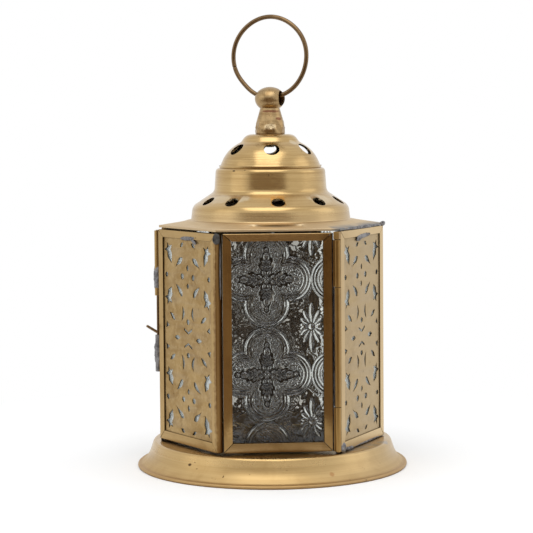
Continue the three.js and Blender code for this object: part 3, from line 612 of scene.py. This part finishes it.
def makeDome(values):
    outline = softLine(values["capCorners"] + values["seamCorners"] + values["drumCorners"], 8)
    plain = softLine(values["capCorners"] + values["drumCorners"], 8)
    inner = wallLine(plain[:-9], values["wall"])[::-1]
    piece = spun("dome", outline + inner, values["steps"])
    mesh = piece.data
    limit = values["brimStart"] * mm
    for vertex in mesh.vertices:
        radius = math.hypot(vertex.co.x, vertex.co.y)
        if radius > limit:
            reach = brimReach(math.degrees(math.atan2(vertex.co.x, -vertex.co.y)))
            share = min((radius - limit) / (13.4 * mm) * 4, 1)
            reach = 1 + (reach - 1) * share
            vertex.co.x *= reach
            vertex.co.y *= reach
    for turns, at, ventRadius in values["vents"]:
        index = next(i for i, point in enumerate(outline) if point.x >= at)
        above, below = outline[index - 1], outline[index]
        middle = above.lerp(below, (at - above.x) / (below.x - above.x))
        lean = math.atan2(below.x - above.x, above.y - below.y)
        deselectAll()
        for turn in map(math.radians, turns):
            direction = Vector((math.sin(turn) * math.cos(lean), -math.cos(turn) * math.cos(lean), math.sin(lean)))
            bpy.ops.mesh.primitive_cylinder_add(
                vertices=48, radius=ventRadius * mm, depth=8 * mm,
                location=(math.sin(turn) * middle.x * mm, -math.cos(turn) * middle.x * mm, middle.y * mm),
                rotation=direction.to_track_quat("Z", "Y").to_euler())
            cutter = newest("vent_cutter")
            subtract(piece, cutter)
    addModifier(piece, "BEVEL", width=0.14 * mm, segments=2, limit_method="ANGLE", angle_limit=math.radians(50), use_clamp_overlap=True)
    smooth(piece, 40)
    grey = piece.data.attributes.new("solder", "FLOAT", "POINT")
    for index, vertex in enumerate(piece.data.vertices):
        turn = math.degrees(math.atan2(vertex.co.x, -vertex.co.y))
        radius = math.hypot(vertex.co.x, vertex.co.y) / mm
        edge = radius / (brimReach(turn) * 55.4)
        if 30 < turn < 89 and edge > 0.955:
            grey.data[index].value = 1.0
    belongs(piece, "lantern", "spun_brass", spunBrass, "roof_dome", "roof_cap")
    return piece


cup = {"radius": 20.5, "foot": 13.0, "height": 9.0, "wall": 0.6, "steps": 96}


def makeCup(values):
    inner = values["radius"] - values["wall"]
    top = values["foot"] + values["height"]
    outline = softLine([
        (0, values["foot"] + values["wall"], 0), (12, values["foot"] + values["wall"], 0),
        (inner, values["foot"] + values["wall"], 0.8), (inner, top, 0.25), (values["radius"], top, 0.25),
        (values["radius"], values["foot"], 0.6), (12, values["foot"], 0), (0, values["foot"], 0),
    ])
    piece = spun("tealight_cup", outline, values["steps"])
    smooth(piece, 40)
    belongs(piece, "lantern", "spun_brass", plateBrass, "candle_cup")
    return piece


finial = {
    "foot": 164.0, "studRadius": 2.0, "studFoot": 157.5, "bellRadius": 7.3, "neckRadius": 4.85, "ballRadius": 7.45, "ballRise": 5.75, "ballFall": 6.3,
    "ballCentre": 181.5, "hole": 3.65, "holeTurn": -30, "lumps": 0.75, "steps": 96,
}


def makeFinial(values):
    foot = values["foot"]
    neckAngle = math.acos(values["neckRadius"] / values["ballRadius"])
    neckHeight = values["ballCentre"] - values["ballFall"] * math.sin(neckAngle)
    line = softLine([
        (0, values["studFoot"], 0), (values["studRadius"], values["studFoot"], 0.3), (values["studRadius"], foot + 0.02, 0),
        (values["bellRadius"] - 0.1, foot + 0.02, 0.2), (values["bellRadius"] + 0.1, foot + 3.2, 2.4),
        (6.5, foot + 7.0, 0.7), (5.75, foot + 9.4, 0.9),
        (values["neckRadius"] + 0.12, neckHeight - 0.5, 0.4),
        (values["neckRadius"], neckHeight, 0),
    ])
    for step in range(1, 25):
        turn = -neckAngle + (neckAngle + math.pi / 2) * step / 24
        rise = values["ballFall"] if turn < 0 else values["ballRise"]
        line.append(Vector((values["ballRadius"] * math.cos(turn), values["ballCentre"] + rise * math.sin(turn))))
    line[-1].x = 0
    piece = spun("finial_turned", line, values["steps"], closed=False)
    # the foot of the bell is left as cast, lumpy
    for vertex in piece.data.vertices:
        share = bell((vertex.co.z / mm - foot - 3.4) / 2.6, 1)
        swell = noise.noise(vertex.co / mm * 0.55) * share * values["lumps"]
        vertex.co.x *= 1 + swell / values["bellRadius"]
        vertex.co.y *= 1 + swell / values["bellRadius"]
    deselectAll()
    turn = math.radians(values["holeTurn"])
    bpy.ops.mesh.primitive_cylinder_add(
        vertices=64, radius=values["hole"] * mm, depth=30 * mm, location=(0, 0, values["ballCentre"] * mm),
        rotation=Vector((math.cos(turn), math.sin(turn), 0)).to_track_quat("Z", "Y").to_euler())
    subtract(piece, newest("ring_hole"))
    addModifier(piece, "BEVEL", width=0.2 * mm, segments=3, limit_method="ANGLE", angle_limit=math.radians(50), use_clamp_overlap=True)
    smooth(piece, 40)
    belongs(piece, "lantern", "spun_brass", turnedBrass, "finial")
    return piece


makeBase(base)
makeDome(dome)
makeCup(cup)
makeFinial(finial)
print("spun pieces made")


# hanging ring: one round of wire, its ends butted

ring = {"radius": 19.9, "wire": 1.1, "centre": 201.85, "flat": 0.045, "flatAt": 224, "turn": -30, "gap": 0.08, "endAngle": 193, "steps": 140, "ends": 0.3}


def makeRing(values):
    deselectAll()
    bpy.ops.mesh.primitive_circle_add(vertices=20, radius=values["wire"] * mm, fill_type="NGON", location=(0, 0, 0))
    piece = newest("ring_wire")
    gap = math.degrees(values["gap"] / values["radius"])
    start = math.radians(values["endAngle"] + gap / 2)
    editing(piece)
    bpy.ops.mesh.select_all(action="SELECT")
    bpy.ops.transform.translate(value=(values["radius"] * mm, 0, 0))
    bpy.ops.mesh.spin(steps=values["steps"], angle=math.radians(360 - gap), center=(0, 0, 0), axis=(0, -1, 0))
    bpy.ops.mesh.select_all(action="SELECT")
    bpy.ops.mesh.normals_make_consistent(inside=False)
    doneEditing()
    piece.rotation_euler = (0, -start, 0)
    fixPlace(piece)
    addModifier(piece, "BEVEL", width=values["ends"] * mm, segments=3, limit_method="ANGLE", angle_limit=math.radians(60))
    for vertex in piece.data.vertices:  # a hand-bent wire isn't quite round
        turn = math.atan2(vertex.co.z, vertex.co.x)
        swell = 1 + 0.006 * math.sin(2 * turn + 0.8) + 0.004 * math.sin(5 * turn)
        swell -= values["flat"] * bell((math.degrees(turn) % 360 - values["flatAt"]) / 22, 1)
        away = Vector((math.cos(turn), 0, math.sin(turn))) * values["radius"] * mm
        vertex.co += away * (swell - 1)
    piece.rotation_euler = (0, 0, math.radians(values["turn"]))
    piece.location = (0, 0, values["centre"] * mm)
    fixPlace(piece)
    smooth(piece, 50)
    belongs(piece, "ring", "dark_brass", wireBrass, "hanging_ring")
    return piece


makeRing(ring)
print("ring made")


# folded frames: merged copies of the imported channels, their folds rounded

channels = {"ease": 0.1, "segments": 2}
framed = {
    "door_front": ("door", "dark_brass", darkStileBrass, darkRailBrass),
    "door_side": ("door", "frame_brass", cornerBrass, railBrass),
    "right_front": ("lantern", "frame_brass", stileBrass, railBrass),
    "right_back": ("lantern", "frame_brass", stileBrass, railBrass),
    "back": ("lantern", "frame_brass", stileBrass, railBrass),
    "left_back": ("lantern", "frame_brass", stileBrass, railBrass),
}


def makeChannel(node, body, slotName, material, values):
    piece = bpy.data.objects.new(node + "_folded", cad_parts[node].data.copy())
    bpy.context.scene.collection.objects.link(piece)
    editing(piece)
    bpy.ops.mesh.select_all(action="SELECT")
    bpy.ops.mesh.remove_doubles(threshold=0.00001)
    bpy.ops.mesh.dissolve_limited(angle_limit=math.radians(2))
    bpy.ops.mesh.select_all(action="DESELECT")
    bpy.ops.mesh.select_mode(type="EDGE")
    # only edges that run along the channel are eased, so the mitres stay tight
    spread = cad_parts[node].dimensions
    upright = spread.z > 50 * mm
    selectWhere(piece, "edges", lambda edge: runsAlong(edge, upright))
    bpy.ops.transform.edge_bevelweight(value=1.0)
    bpy.ops.mesh.select_mode(type="VERT")
    doneEditing()
    addModifier(piece, "BEVEL", width=values["ease"] * mm, segments=values["segments"], limit_method="WEIGHT")
    flatFaced(piece)
    belongs(piece, body, slotName, material, node)
    return piece


def runsAlong(edge, upright):
    line = (edge.verts[1].co - edge.verts[0].co).normalized()
    flatAngle = edge.calc_face_angle(0.0)
    straight = abs(line.z) > 0.99 if upright else abs(line.z) < 0.01 and edge.calc_length() > 20 * mm
    return straight and flatAngle > math.radians(30)


for side, (body, slotName, stileMaterial, railMaterial) in framed.items():
    for part in ("left_stile", "right_stile"):
        makeChannel(side + "_" + part, body, slotName, stileMaterial, channels)
    for part in ("top_rail", "bottom_rail"):
        makeChannel(side + "_" + part, body, slotName, railMaterial, channels)
print("frames made")


# pierced sheets

fretwork = {"thickness": 0.4, "ease": 0.05, "depth": 0.7, "margin": 0.7, "halfWidth": 25.54, "grow": 1.12, "drift": 0.5, "seed": 5}


def roundHole(count, radiusAt, stretch=1.0, turn=0.0):
    points = []
    for index in range(count):
        angle = 2 * math.pi * index / count + math.pi / 2
        radius = radiusAt(index)
        points.append(turned(radius * math.cos(angle), radius * math.sin(angle) * stretch, turn))
    return points


def turned(x, y, degrees):
    angle = math.radians(degrees)
    return (x * math.cos(angle) - y * math.sin(angle), x * math.sin(angle) + y * math.cos(angle))


def leafHole(length, width, swell, bow, turn, steps=10):
    points = []
    for index in range(2 * steps):
        rising = index < steps
        along = index / steps if rising else (2 * steps - index) / steps
        half = width / 2 * math.sin(math.pi * along ** swell)
        sideways = (half if rising else -half) - bow * math.sin(math.pi * along)
        points.append(turned(sideways, (along - 0.5) * length, turn))
    return points


def tailedStarHole(inner, outer, tail, turn):
    return roundHole(10, lambda i: tail if i == 5 else inner if i % 2 else outer, 1, turn)


def chevronHole(halfWidth, height, band):
    return [
        (0, -height / 2), (halfWidth, height / 2 - band), (halfWidth, height / 2),
        (0, -height / 2 + band), (-halfWidth, height / 2), (-halfWidth, height / 2 - band),
    ]


def dotHole(radius):
    return roundHole(18, lambda i: radius)


quarterPattern = [
    (0, 3.6, chevronHole(3.2, 2.6, 1)),
    (10, 0, leafHole(4.8, 2.1, 1, 0, 90)),
    (0, 8.1, dotHole(1.15)),
    (5.3, 12, leafHole(6.8, 1.6, 1, 1.1, 6)),
    (14.3, 10, leafHole(5.4, 1.9, 1, 0, -56)),
    (19.1, 5.4, roundHole(3, lambda i: 1.7, 1, -20)),
    (17.4, 18.6, tailedStarHole(1.6, 3.4, 5.6, 202)),
    (7.9, 23.1, leafHole(7.4, 2.3, 0.55, 0.3, -48)),
    (0, 25.6, leafHole(2.6, 1.8, 1, 0, 0)),
    (0, 34, leafHole(3, 1.7, 1, 0, 0)),
    (4.9, 29.8, dotHole(1.3)),
    (8, 36.3, leafHole(8.2, 2.6, 2, -0.4, 53)),
    (19.2, 30, dotHole(1.15)),
    (17.5, 42.4, tailedStarHole(1.6, 3.5, 6.6, -22)),
    (5.2, 45.2, leafHole(3.3, 1.7, 1, 0, 60)),
]


def makeFretwork(side, body, values):
    node = side + "_fretwork"
    low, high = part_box(node)
    middle = (low.z + high.z) / 2
    halfHeight = (high.z - low.z) / 2 / mm
    offset = Vector((values["seed"], len(side), 0))
    curve = bpy.data.curves.new(node, "CURVE")
    curve.dimensions = "2D"
    curve.fill_mode = "BOTH"
    curve.extrude = (values["thickness"] / 2 - values["ease"]) * mm
    curve.bevel_depth = values["ease"] * mm
    curve.bevel_resolution = 1
    curve.offset = -values["ease"] * mm
    outlines = [[(-values["halfWidth"], -halfHeight), (values["halfWidth"], -halfHeight), (values["halfWidth"], halfHeight), (-values["halfWidth"], halfHeight)]]
    for across, up, hole in quarterPattern:
        for sideways in ((1,) if across == 0 else (1, -1)):
            for upwards in ((1,) if up == 0 else (1, -1)):
                outline = []
                for x, y in hole:
                    place = Vector(((x * values["grow"] + across) * sideways, (y * values["grow"] + up) * upwards, 0))
                    # sawn by hand: the outlines drift a little
                    drift = noise.noise_vector(place * 0.11 + offset) + 0.35 * noise.noise_vector(place * 0.45 + offset)
                    outline.append((place.x + drift.x * values["drift"], place.y + drift.y * values["drift"]))
                outlines.append(outline)
    for outline in outlines:
        spline = curve.splines.new("POLY")
        spline.points.add(len(outline) - 1)
        for point, (x, y) in zip(spline.points, outline):
            point.co = (x * mm, y * mm, 0, 1)
        spline.use_cyclic_u = True
    piece = bpy.data.objects.new(side + "_pierced_sheet", curve)
    bpy.context.scene.collection.objects.link(piece)
    pick(piece)
    bpy.ops.object.convert(target="MESH")
    piece = bpy.context.object
    piece.rotation_euler = (math.pi / 2, 0, 0)
    piece.location = (0, (values["depth"] + values["thickness"] / 2) * mm, middle)
    fixPlace(piece)
    editing(piece)
    bpy.ops.mesh.select_all(action="SELECT")
    bpy.ops.mesh.remove_doubles(threshold=0.000001)
    doneEditing()
    toSide(piece, side)
    smooth(piece, 30)
    belongs(piece, body, "pierced_brass", piercedBrass, node)
    return piece


makeFretwork("door_side", "door", fretwork)
makeFretwork("right_front", "lantern", fretwork)
makeFretwork("back", "lantern", fretwork)
print("pierced sheets made")


# glass: pressed quatrefoil pattern on the glazed sides, mottled panes behind the pierced ones

glass = {
    "step": 0.25, "depth": 0.7, "recess": 0.68, "rise": 0.68, "thickness": 2.0, "margin": 0.7,
    "pitchX": 42.6, "pitchZ": 45.0, "lobe": 10.95, "lobeAtX": 10.7, "lobeAtZ": 11.8, "middle": 13.8, "centreX": -5.2, "centreZ": 95.8,
    "petals": [(0, 11.4, 0.85), (27, 8.4, 0.6), (53, 6.4, 0.55), (80, 5.4, 0.5)],
    "backStep": 0.8, "backDepth": 1.4, "backThickness": 1.3,
}


def leafLump(u, v, atU, atV, length, width, turn):
    x, y = turned(u - atU, v - atV, -turn)
    away = (x / width) ** 2 + (y / length) ** 2
    # the second value is a ring of painted shade just outside the lump
    return math.sqrt(1 - away) if away < 1 else 0.0, bell((math.sqrt(away) - 1) * width - 0.4, 0.55)


# along an arm from the middle of a quatrefoil: [out, aside, length, width, turn, height]
armLumps = [
    (10.6, 0.0, 1.8, 1.35, 0, 1.0), (13.9, 0.0, 0.9, 0.75, 0, 0.7), (8.1, 0.0, 0.8, 0.7, 0, 0.8),
    (7.6, 1.0, 1.4, 0.7, -38, 0.7), (7.6, -1.0, 1.4, 0.7, 38, 0.7), (5.4, 1.4, 1.4, 0.7, -50, 0.7), (5.4, -1.4, 1.4, 0.7, 50, 0.7),
    (3.2, 1.2, 1.1, 0.7, -30, 0.9), (3.2, -1.2, 1.1, 0.7, 30, 0.9), (5.6, 0.0, 1.0, 0.6, 0, 0.9), (1.3, 0.0, 0.8, 0.7, 0, 0.9),
]


def pressedRelief(x, z, values):
    pitchX, pitchZ = values["pitchX"], values["pitchZ"]
    u = (x - values["centreX"] + pitchX / 2) % pitchX - pitchX / 2
    v = (z - values["centreZ"] + pitchZ / 2) % pitchZ - pitchZ / 2
    a, b = abs(u), abs(v)
    edge = min(math.hypot(a - values["lobeAtX"], b), math.hypot(a, b - values["lobeAtZ"])) - values["lobe"]
    edge = min(edge, math.hypot(a, b) - values["middle"])
    # a broad ridge round the quatrefoil with two fine ones inside it
    height = 1.0 * bell(edge + 0.75, 0.38) + 0.4 * bell(edge + 2.2, 0.26) + 0.45 * bell(edge + 3.9, 0.3)
    # painted shade: dark bands beside the ridges
    hollow = 0.9 * bell(edge + 1.5, 0.35) + 0.9 * bell(edge - 0.1, 0.45) + 0.6 * bell(edge + 3.1, 0.35)
    stipple = 0.0
    if edge < -4.4:
        stipple = min((-4.4 - edge) / 0.4, 1.0)
        out, aside = (a, v if u > 0 else -v) if a > b else (b, u if v > 0 else -u)
        for atOut, atAside, length, width, turn, tall in armLumps:
            lump, ring = leafLump(aside, out, atAside, atOut, length, width, turn)
            height += tall * lump
            hollow = max(hollow, ring)
            if lump > 0.05 or ring > 0.4:
                stipple = 0.0
    elif edge > 0.2:
        # a rosette of narrow petals, the upright ones longer
        p, q = pitchX / 2 - a, pitchZ / 2 - b
        away = math.hypot(p, q)
        bearing = math.atan2(p, q)
        middle, reach, broad = min(values["petals"], key=lambda petal: abs(math.radians(petal[0]) - bearing))
        aside = away * math.sin(bearing - math.radians(middle))
        along = (away - 1.9) / (reach - 1.9)
        if away < 1.3:
            height += 0.55 * math.sqrt(1 - (away / 1.3) ** 2)
        elif 0 < along < 1:
            width = 0.25 + broad * math.sin(math.pi * along ** 1.2)
            # painted shade round each petal
            hollow = max(hollow, 0.8 * bell(abs(aside) - width - 0.25, 0.3))
            if abs(aside) < width:
                height += 0.8 * math.sqrt(1 - (aside / width) ** 2) * min(math.sin(math.pi * along) * 2, 1)
        stipple = 0.3 if away > 10.4 and noise.noise(Vector((x * 0.12, z * 0.12, 5.0))) > 0.05 else 0.0
        height += 0.3 * max(noise.noise(Vector((x * 0.5, z * 0.5, 7.0))), 0)
    # painted shade: the glass darkens towards the foot of the pane
    murk = min(max((29 - z + 4 * noise.noise(Vector((x * 0.2, 0, 1.0)))) / 9, 0), 1) * 0.8
    return height * values["rise"], stipple, min(max(hollow, murk), 1.0)


def mottledRelief(x, z, values):
    wave = noise.noise(Vector((x * 0.55, z * 0.55, 3.0))) + 0.5 * noise.noise(Vector((x * 1.3, z * 1.3, 9.0)))
    return 0.18 + 0.14 * wave, 0.6, 0.0


def makePane(name, halfWidth, foot, top, depth, recess, thickness, step, relief, values):
    width, height = 2 * halfWidth, top - foot
    deselectAll()
    bpy.ops.mesh.primitive_grid_add(x_subdivisions=round(width / step), y_subdivisions=round(height / step), size=mm)
    piece = newest(name)
    piece.scale = (width, height, 1)
    piece.rotation_euler = (math.pi / 2, 0, 0)
    piece.location = (0, (depth + recess) * mm, (foot + top) / 2 * mm)
    fixPlace(piece)
    mask = piece.data.attributes.new("stipple", "FLOAT", "POINT")
    dark = piece.data.attributes.new("hollows", "FLOAT", "POINT")
    for index, vertex in enumerate(piece.data.vertices):
        tall, stipple, hollow = relief(vertex.co.x / mm, vertex.co.z / mm, values)
        vertex.co.y -= min(tall, recess) * mm
        mask.data[index].value = stipple
        dark.data[index].value = hollow
    editing(piece)
    bpy.ops.mesh.select_mode(type="EDGE")
    selectWhere(piece, "edges", lambda line: line.is_boundary)
    backAt = (depth + thickness) * mm
    bpy.ops.mesh.extrude_region_move(TRANSFORM_OT_translate={"value": (0, (thickness - recess) * mm, 0)})
    bpy.ops.transform.resize(value=(1, 0, 1), center_override=(0, backAt, 0))
    bpy.ops.mesh.edge_face_add()
    bpy.ops.mesh.select_all(action="SELECT")
    bpy.ops.mesh.normals_make_consistent(inside=False)
    bpy.ops.mesh.select_mode(type="VERT")
    doneEditing()
    for layer in (piece.data.attributes["stipple"], piece.data.attributes["hollows"]):
        for index, vertex in enumerate(piece.data.vertices):
            if vertex.co.y > (backAt - 0.01 * mm):
                layer.data[index].value = 0.0
    smooth(piece, 60)
    return piece


def placePane(pane, name, side, body, material, shift=(0, 0)):
    piece = ownCopy(pane, name)
    piece.location = (shift[0] * mm, 0, shift[1] * mm)
    fixPlace(piece)
    toSide(piece, side)
    belongs(piece, body, "pressed_glass", material, side + "_glass")
    return piece


def makeGlass(values):
    margin = values["margin"]
    doorLeft, doorRight = -26.3225 + margin, 25.5725 - margin
    pressed = makePane(
        "pressed_pane", (doorRight - doorLeft) / 2, 13.9 + margin, 117.6 - margin, values["depth"], values["recess"],
        values["thickness"], values["step"], pressedRelief, values)
    mottled = makePane(
        "mottled_pane", 25.54, 13.9 + margin, 117.6 - margin, values["backDepth"], 0.4,
        values["backThickness"], values["backStep"], mottledRelief, values)
    placePane(pressed, "door_pressed_pane", "door_front", "door", pressedGlass, ((doorLeft + doorRight) / 2, 0))
    placePane(pressed, "right_pressed_pane", "right_back", "lantern", smokedGlass)
    placePane(pressed, "left_pressed_pane", "left_back", "lantern", smokedGlass)
    placePane(mottled, "door_mottled_pane", "door_side", "door", backingGlass)
    placePane(mottled, "right_mottled_pane", "right_front", "lantern", backingGlass)
    placePane(mottled, "back_mottled_pane", "back", "lantern", shadeGlass)
    bpy.data.objects.remove(pressed)
    bpy.data.objects.remove(mottled)


makeGlass(glass)
print("glass made")


# hinge and catch

hinge = {
    "x": 27.7725, "y": -48.4163, "barrel": 1.5, "bore": 1.0, "leaf": 2.1, "steps": 48,
    "pin": 0.7, "blockWidth": 2.8, "blockHeight": 3.6, "blockFoot": 114.6,
    # gap shades: foot, top, left, width, back, depth, body; near-black strips that fill the hinge gap as painted shade
    "gapShades": [
        (13.95, 34.9, 25.52, 0.4, 46.25, 0.9, "door"), (34.9, 92.1, 25.52, 0.62, 46.25, 0.9, "door"),
        (92.1, 117.5, 25.52, 0.4, 46.25, 0.9, "door"), (35.2, 91.8, 25.95, 0.55, 45.5, 0.6, "lantern"),
    ],
}


def makeTube(name, foot, top, leafLength, extra, side, turn, x, y, values):
    barrel, bore = values["barrel"], values["bore"]
    line = softLine([
        (bore, (foot + top) / 2, 0), (bore, foot, 0.12), (barrel, foot, 0.12), (barrel, top, 0.12), (bore, top, 0.12), (bore, (foot + top) / 2, 0),
    ], 3)
    tube = spun(name + "_barrel", line, values["steps"])
    deselectAll()
    thickness = barrel - bore + extra
    across = side * (barrel + extra - thickness / 2)
    bpy.ops.mesh.primitive_cube_add(size=mm, location=(leafLength / 2 * mm, across * mm, (foot + top) / 2 * mm))
    leaf = newest(name + "_leaf")
    leaf.scale = (leafLength, thickness, top - foot)
    fixPlace(leaf)
    addModifier(leaf, "BEVEL", width=0.1 * mm, segments=2)
    piece = joined([tube, leaf], name)
    piece.rotation_euler = (0, 0, math.radians(turn))
    piece.location = (x * mm, y * mm, 0)
    fixPlace(piece)
    flatFaced(piece, 40)
    return piece


def makeHinge(values):
    x, y, leaf = values["x"], values["y"], values["leaf"]
    lower = makeTube("hinge_barrel_lower", 13.9, 34.9, leaf, 0.4, 1, 90, x, y, values)
    belongs(lower, "door", "dark_brass", hingeBrass, "door_knuckle_lower")
    upper = makeTube("hinge_barrel_upper", 92.1, 114.3, leaf, 0.4, 1, 90, x, y, values)
    belongs(upper, "door", "dark_brass", hingeBrass, "door_knuckle_upper")
    middle = makeTube("hinge_barrel_middle", 35.2, 91.8, leaf, 0, -1, 150, x, y, values)
    belongs(middle, "lantern", "dark_brass", hingeBrass, "hinge_post_knuckle")
    pin = spun("hinge_wire", softLine([(0, 13.3, 0), (values["pin"], 13.3, 0.2), (values["pin"], 118.2, 0.2), (0, 118.2, 0)], 3), 24, closed=False)
    pin.location = (x * mm, y * mm, 0)
    fixPlace(pin)
    smooth(pin, 40)
    belongs(pin, "lantern", "dark_brass", wireBrass, "hinge_pin")
    # near-black strips in the hinge gap: painted shade
    for index, (foot, top, left, width, back, depth, body) in enumerate(values["gapShades"]):
        deselectAll()
        bpy.ops.mesh.primitive_cube_add(size=mm, location=((left + width / 2) * mm, -(back + depth / 2) * mm, (foot + top) / 2 * mm))
        gapShade = newest(f"hinge_seam_{index}")
        gapShade.scale = (width, depth, top - foot)
        fixPlace(gapShade)
        addModifier(gapShade, "BEVEL", width=0.08 * mm, segments=2)
        flatFaced(gapShade, 40)
        belongs(gapShade, body, "dark_brass", darkSolderAndGapShade)
    deselectAll()
    bpy.ops.mesh.primitive_cube_add(size=mm, location=(0, 0, (values["blockFoot"] + values["blockHeight"] / 2) * mm))
    block = newest("hinge_block")
    block.scale = (values["blockWidth"], values["blockWidth"], values["blockHeight"])
    fixPlace(block)
    deselectAll()
    bpy.ops.mesh.primitive_cylinder_add(vertices=32, radius=values["bore"] * mm, depth=12 * mm, location=(0, 0, 116.4 * mm))
    subtract(block, newest("block_bore"))
    addModifier(block, "BEVEL", width=0.2 * mm, segments=3, limit_method="ANGLE", angle_limit=math.radians(40))
    block.rotation_euler = (0, 0, math.radians(150))
    block.location = (x * mm, y * mm, 0)
    fixPlace(block)
    flatFaced(block, 40)
    belongs(block, "lantern", "dark_brass", hingeBrass, "hinge_top_block")


catch = {
    "along": 27.1225, "standOff": 1.8, "barrel": 1.5, "bore": 1.0, "steps": 48, "leaf": 2.9,
    "wire": 0.7, "armRoot": 66.0, "armLength": 6.2, "armRise": 32, "armTurn": -60,
}


def makeCatch(values):
    x, y = values["along"], -values["standOff"]
    for name, foot, top, node, material in (
        ("catch_tube_short", 46.8, 65.0, "catch_tube_lower", solderMetal),
        ("catch_tube_long", 84.6, 116.8, "catch_tube_upper", stileBrass),
    ):
        piece = makeTube(name, foot, top, values["leaf"], 0, -1, 180, x, y, values)
        toSide(piece, "left_back")
        belongs(piece, "lantern", "soldered_brass", material, node)
    stem = spun("catch_stem", softLine([(0, 47.1, 0), (values["wire"], 47.1, 0.2), (values["wire"], 117.1, 0.2), (0, 117.1, 0)], 3), 20, closed=False)
    rise = math.radians(values["armRise"])
    deselectAll()
    bpy.ops.mesh.primitive_uv_sphere_add(segments=20, ring_count=12, radius=values["wire"] * mm, location=(0, 0, 0))
    arm = newest("catch_arm")
    editing(arm)
    selectWhere(arm, "verts", lambda vert: vert.co.z > 0.00001)
    bpy.ops.transform.translate(value=(0, 0, values["armLength"] * mm))
    doneEditing()
    addModifier(arm, "SUBSURF", levels=1, render_levels=1)
    arm.rotation_euler = (0, math.pi / 2 - rise, 0)
    arm.location = (0, 0, values["armRoot"] * mm)
    fixPlace(arm)
    wire = joined([stem, arm], "catch_bent_wire")
    wire.rotation_euler = (0, 0, math.radians(values["armTurn"]))
    wire.location = (x * mm, y * mm, 0)
    fixPlace(wire)
    smooth(wire, 50)
    toSide(wire, "left_back")
    belongs(wire, "catch", "dark_brass", wireBrass, "catch_wire")


makeHinge(hinge)
makeCatch(catch)
print("hinge and catch made")


# what holds the finial inside the dome

def makeFixings():
    for node in ("finial_washer", "finial_nut"):
        piece = bpy.data.objects.new(node + "_eased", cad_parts[node].data.copy())
        bpy.context.scene.collection.objects.link(piece)
        editing(piece)
        bpy.ops.mesh.select_all(action="SELECT")
        bpy.ops.mesh.remove_doubles(threshold=0.00001)
        bpy.ops.mesh.dissolve_limited(angle_limit=math.radians(2))
        doneEditing()
        addModifier(piece, "BEVEL", width=0.15 * mm, segments=2, limit_method="ANGLE", angle_limit=math.radians(30))
        smooth(piece, 40)
        belongs(piece, "lantern", "plain_steel", plainSteel, node)


makeFixings()


# solder: smears and beads where the pieces are joined

# side, across, height, half width, half height, how far it stands out, tilt in degrees, depth of its middle, body
solderSmears = [
    ("door_side", 1.2, 114.4, 6.4, 0.95, 0.35, 3, 0, "door"),
    ("door_side", 6.4, 113.2, 2.9, 0.8, 0.3, -28, 0, "door"),
    ("right_front", 1.4, 114.7, 8.2, 1.0, 0.35, 3, 0, "lantern"),
    ("right_front", -3.6, 113.7, 3.6, 1.1, 0.3, 12, 0, "lantern"),
    ("door_side", 27.0, 115.4, 2.6, 2.7, 1.3, 0, 0.2, "door"),
    ("door_front", -27.3, 100.0, 0.45, 13.5, 0.6, 0, 0.9, "door"),
    ("right_front", -23.9, 15.0, 2.7, 2.6, 1.0, 20, 0.3, "lantern"),
    ("right_front", -17.5, 13.9, 6.5, 0.9, 0.7, -4, 0.2, "lantern"),
    ("right_front", 6.0, 13.7, 19.0, 0.55, 0.5, 0, 0.3, "lantern"),
    ("right_front", 3.0, 118.9, 23.0, 0.75, 0.7, 0, 0.5, "lantern"),
    ("right_front", 26.4, 119.2, 1.9, 1.2, 1.1, 0, 0.4, "lantern"),
    ("left_back", 27.4, 13.7, 1.2, 0.9, 0.5, 0, 0.2, "lantern"),
    ("left_back", 27.1, 93.5, 1.75, 8.2, 2.1, 0, -1.8, "lantern"),
    ("left_back", 27.1, 55.8, 1.75, 8.4, 2.1, 0, -1.8, "lantern"),
]


def makeSmear(index, smear):
    side, across, height, halfWidth, halfHeight, out, tilt, depth, body = smear
    deselectAll()
    bpy.ops.mesh.primitive_ico_sphere_add(subdivisions=5, radius=mm, location=(0, 0, 0))
    piece = newest(f"solder_smear_{index}")
    piece.scale = (halfWidth, out, halfHeight)
    piece.rotation_euler = (0, math.radians(-tilt), 0)
    piece.location = (across * mm, depth * mm, height * mm)
    fixPlace(piece)
    reach = min(halfWidth, halfHeight)
    for vertex in piece.data.vertices:
        place = vertex.co / mm
        swell = noise.noise(place * 0.5 + Vector((index * 7, 0, 0))) + 0.5 * noise.noise(place * 1.4)
        vertex.co += vertex.normal * swell * min(0.35, 0.3 * reach) * mm
    toSide(piece, side)
    smooth(piece, 60)
    belongs(piece, body, "soldered_brass", darkSolderAndGapShade if out == 1.3 else solderMetal)


for index, smear in enumerate(solderSmears):
    makeSmear(index, smear)
print("solder made")
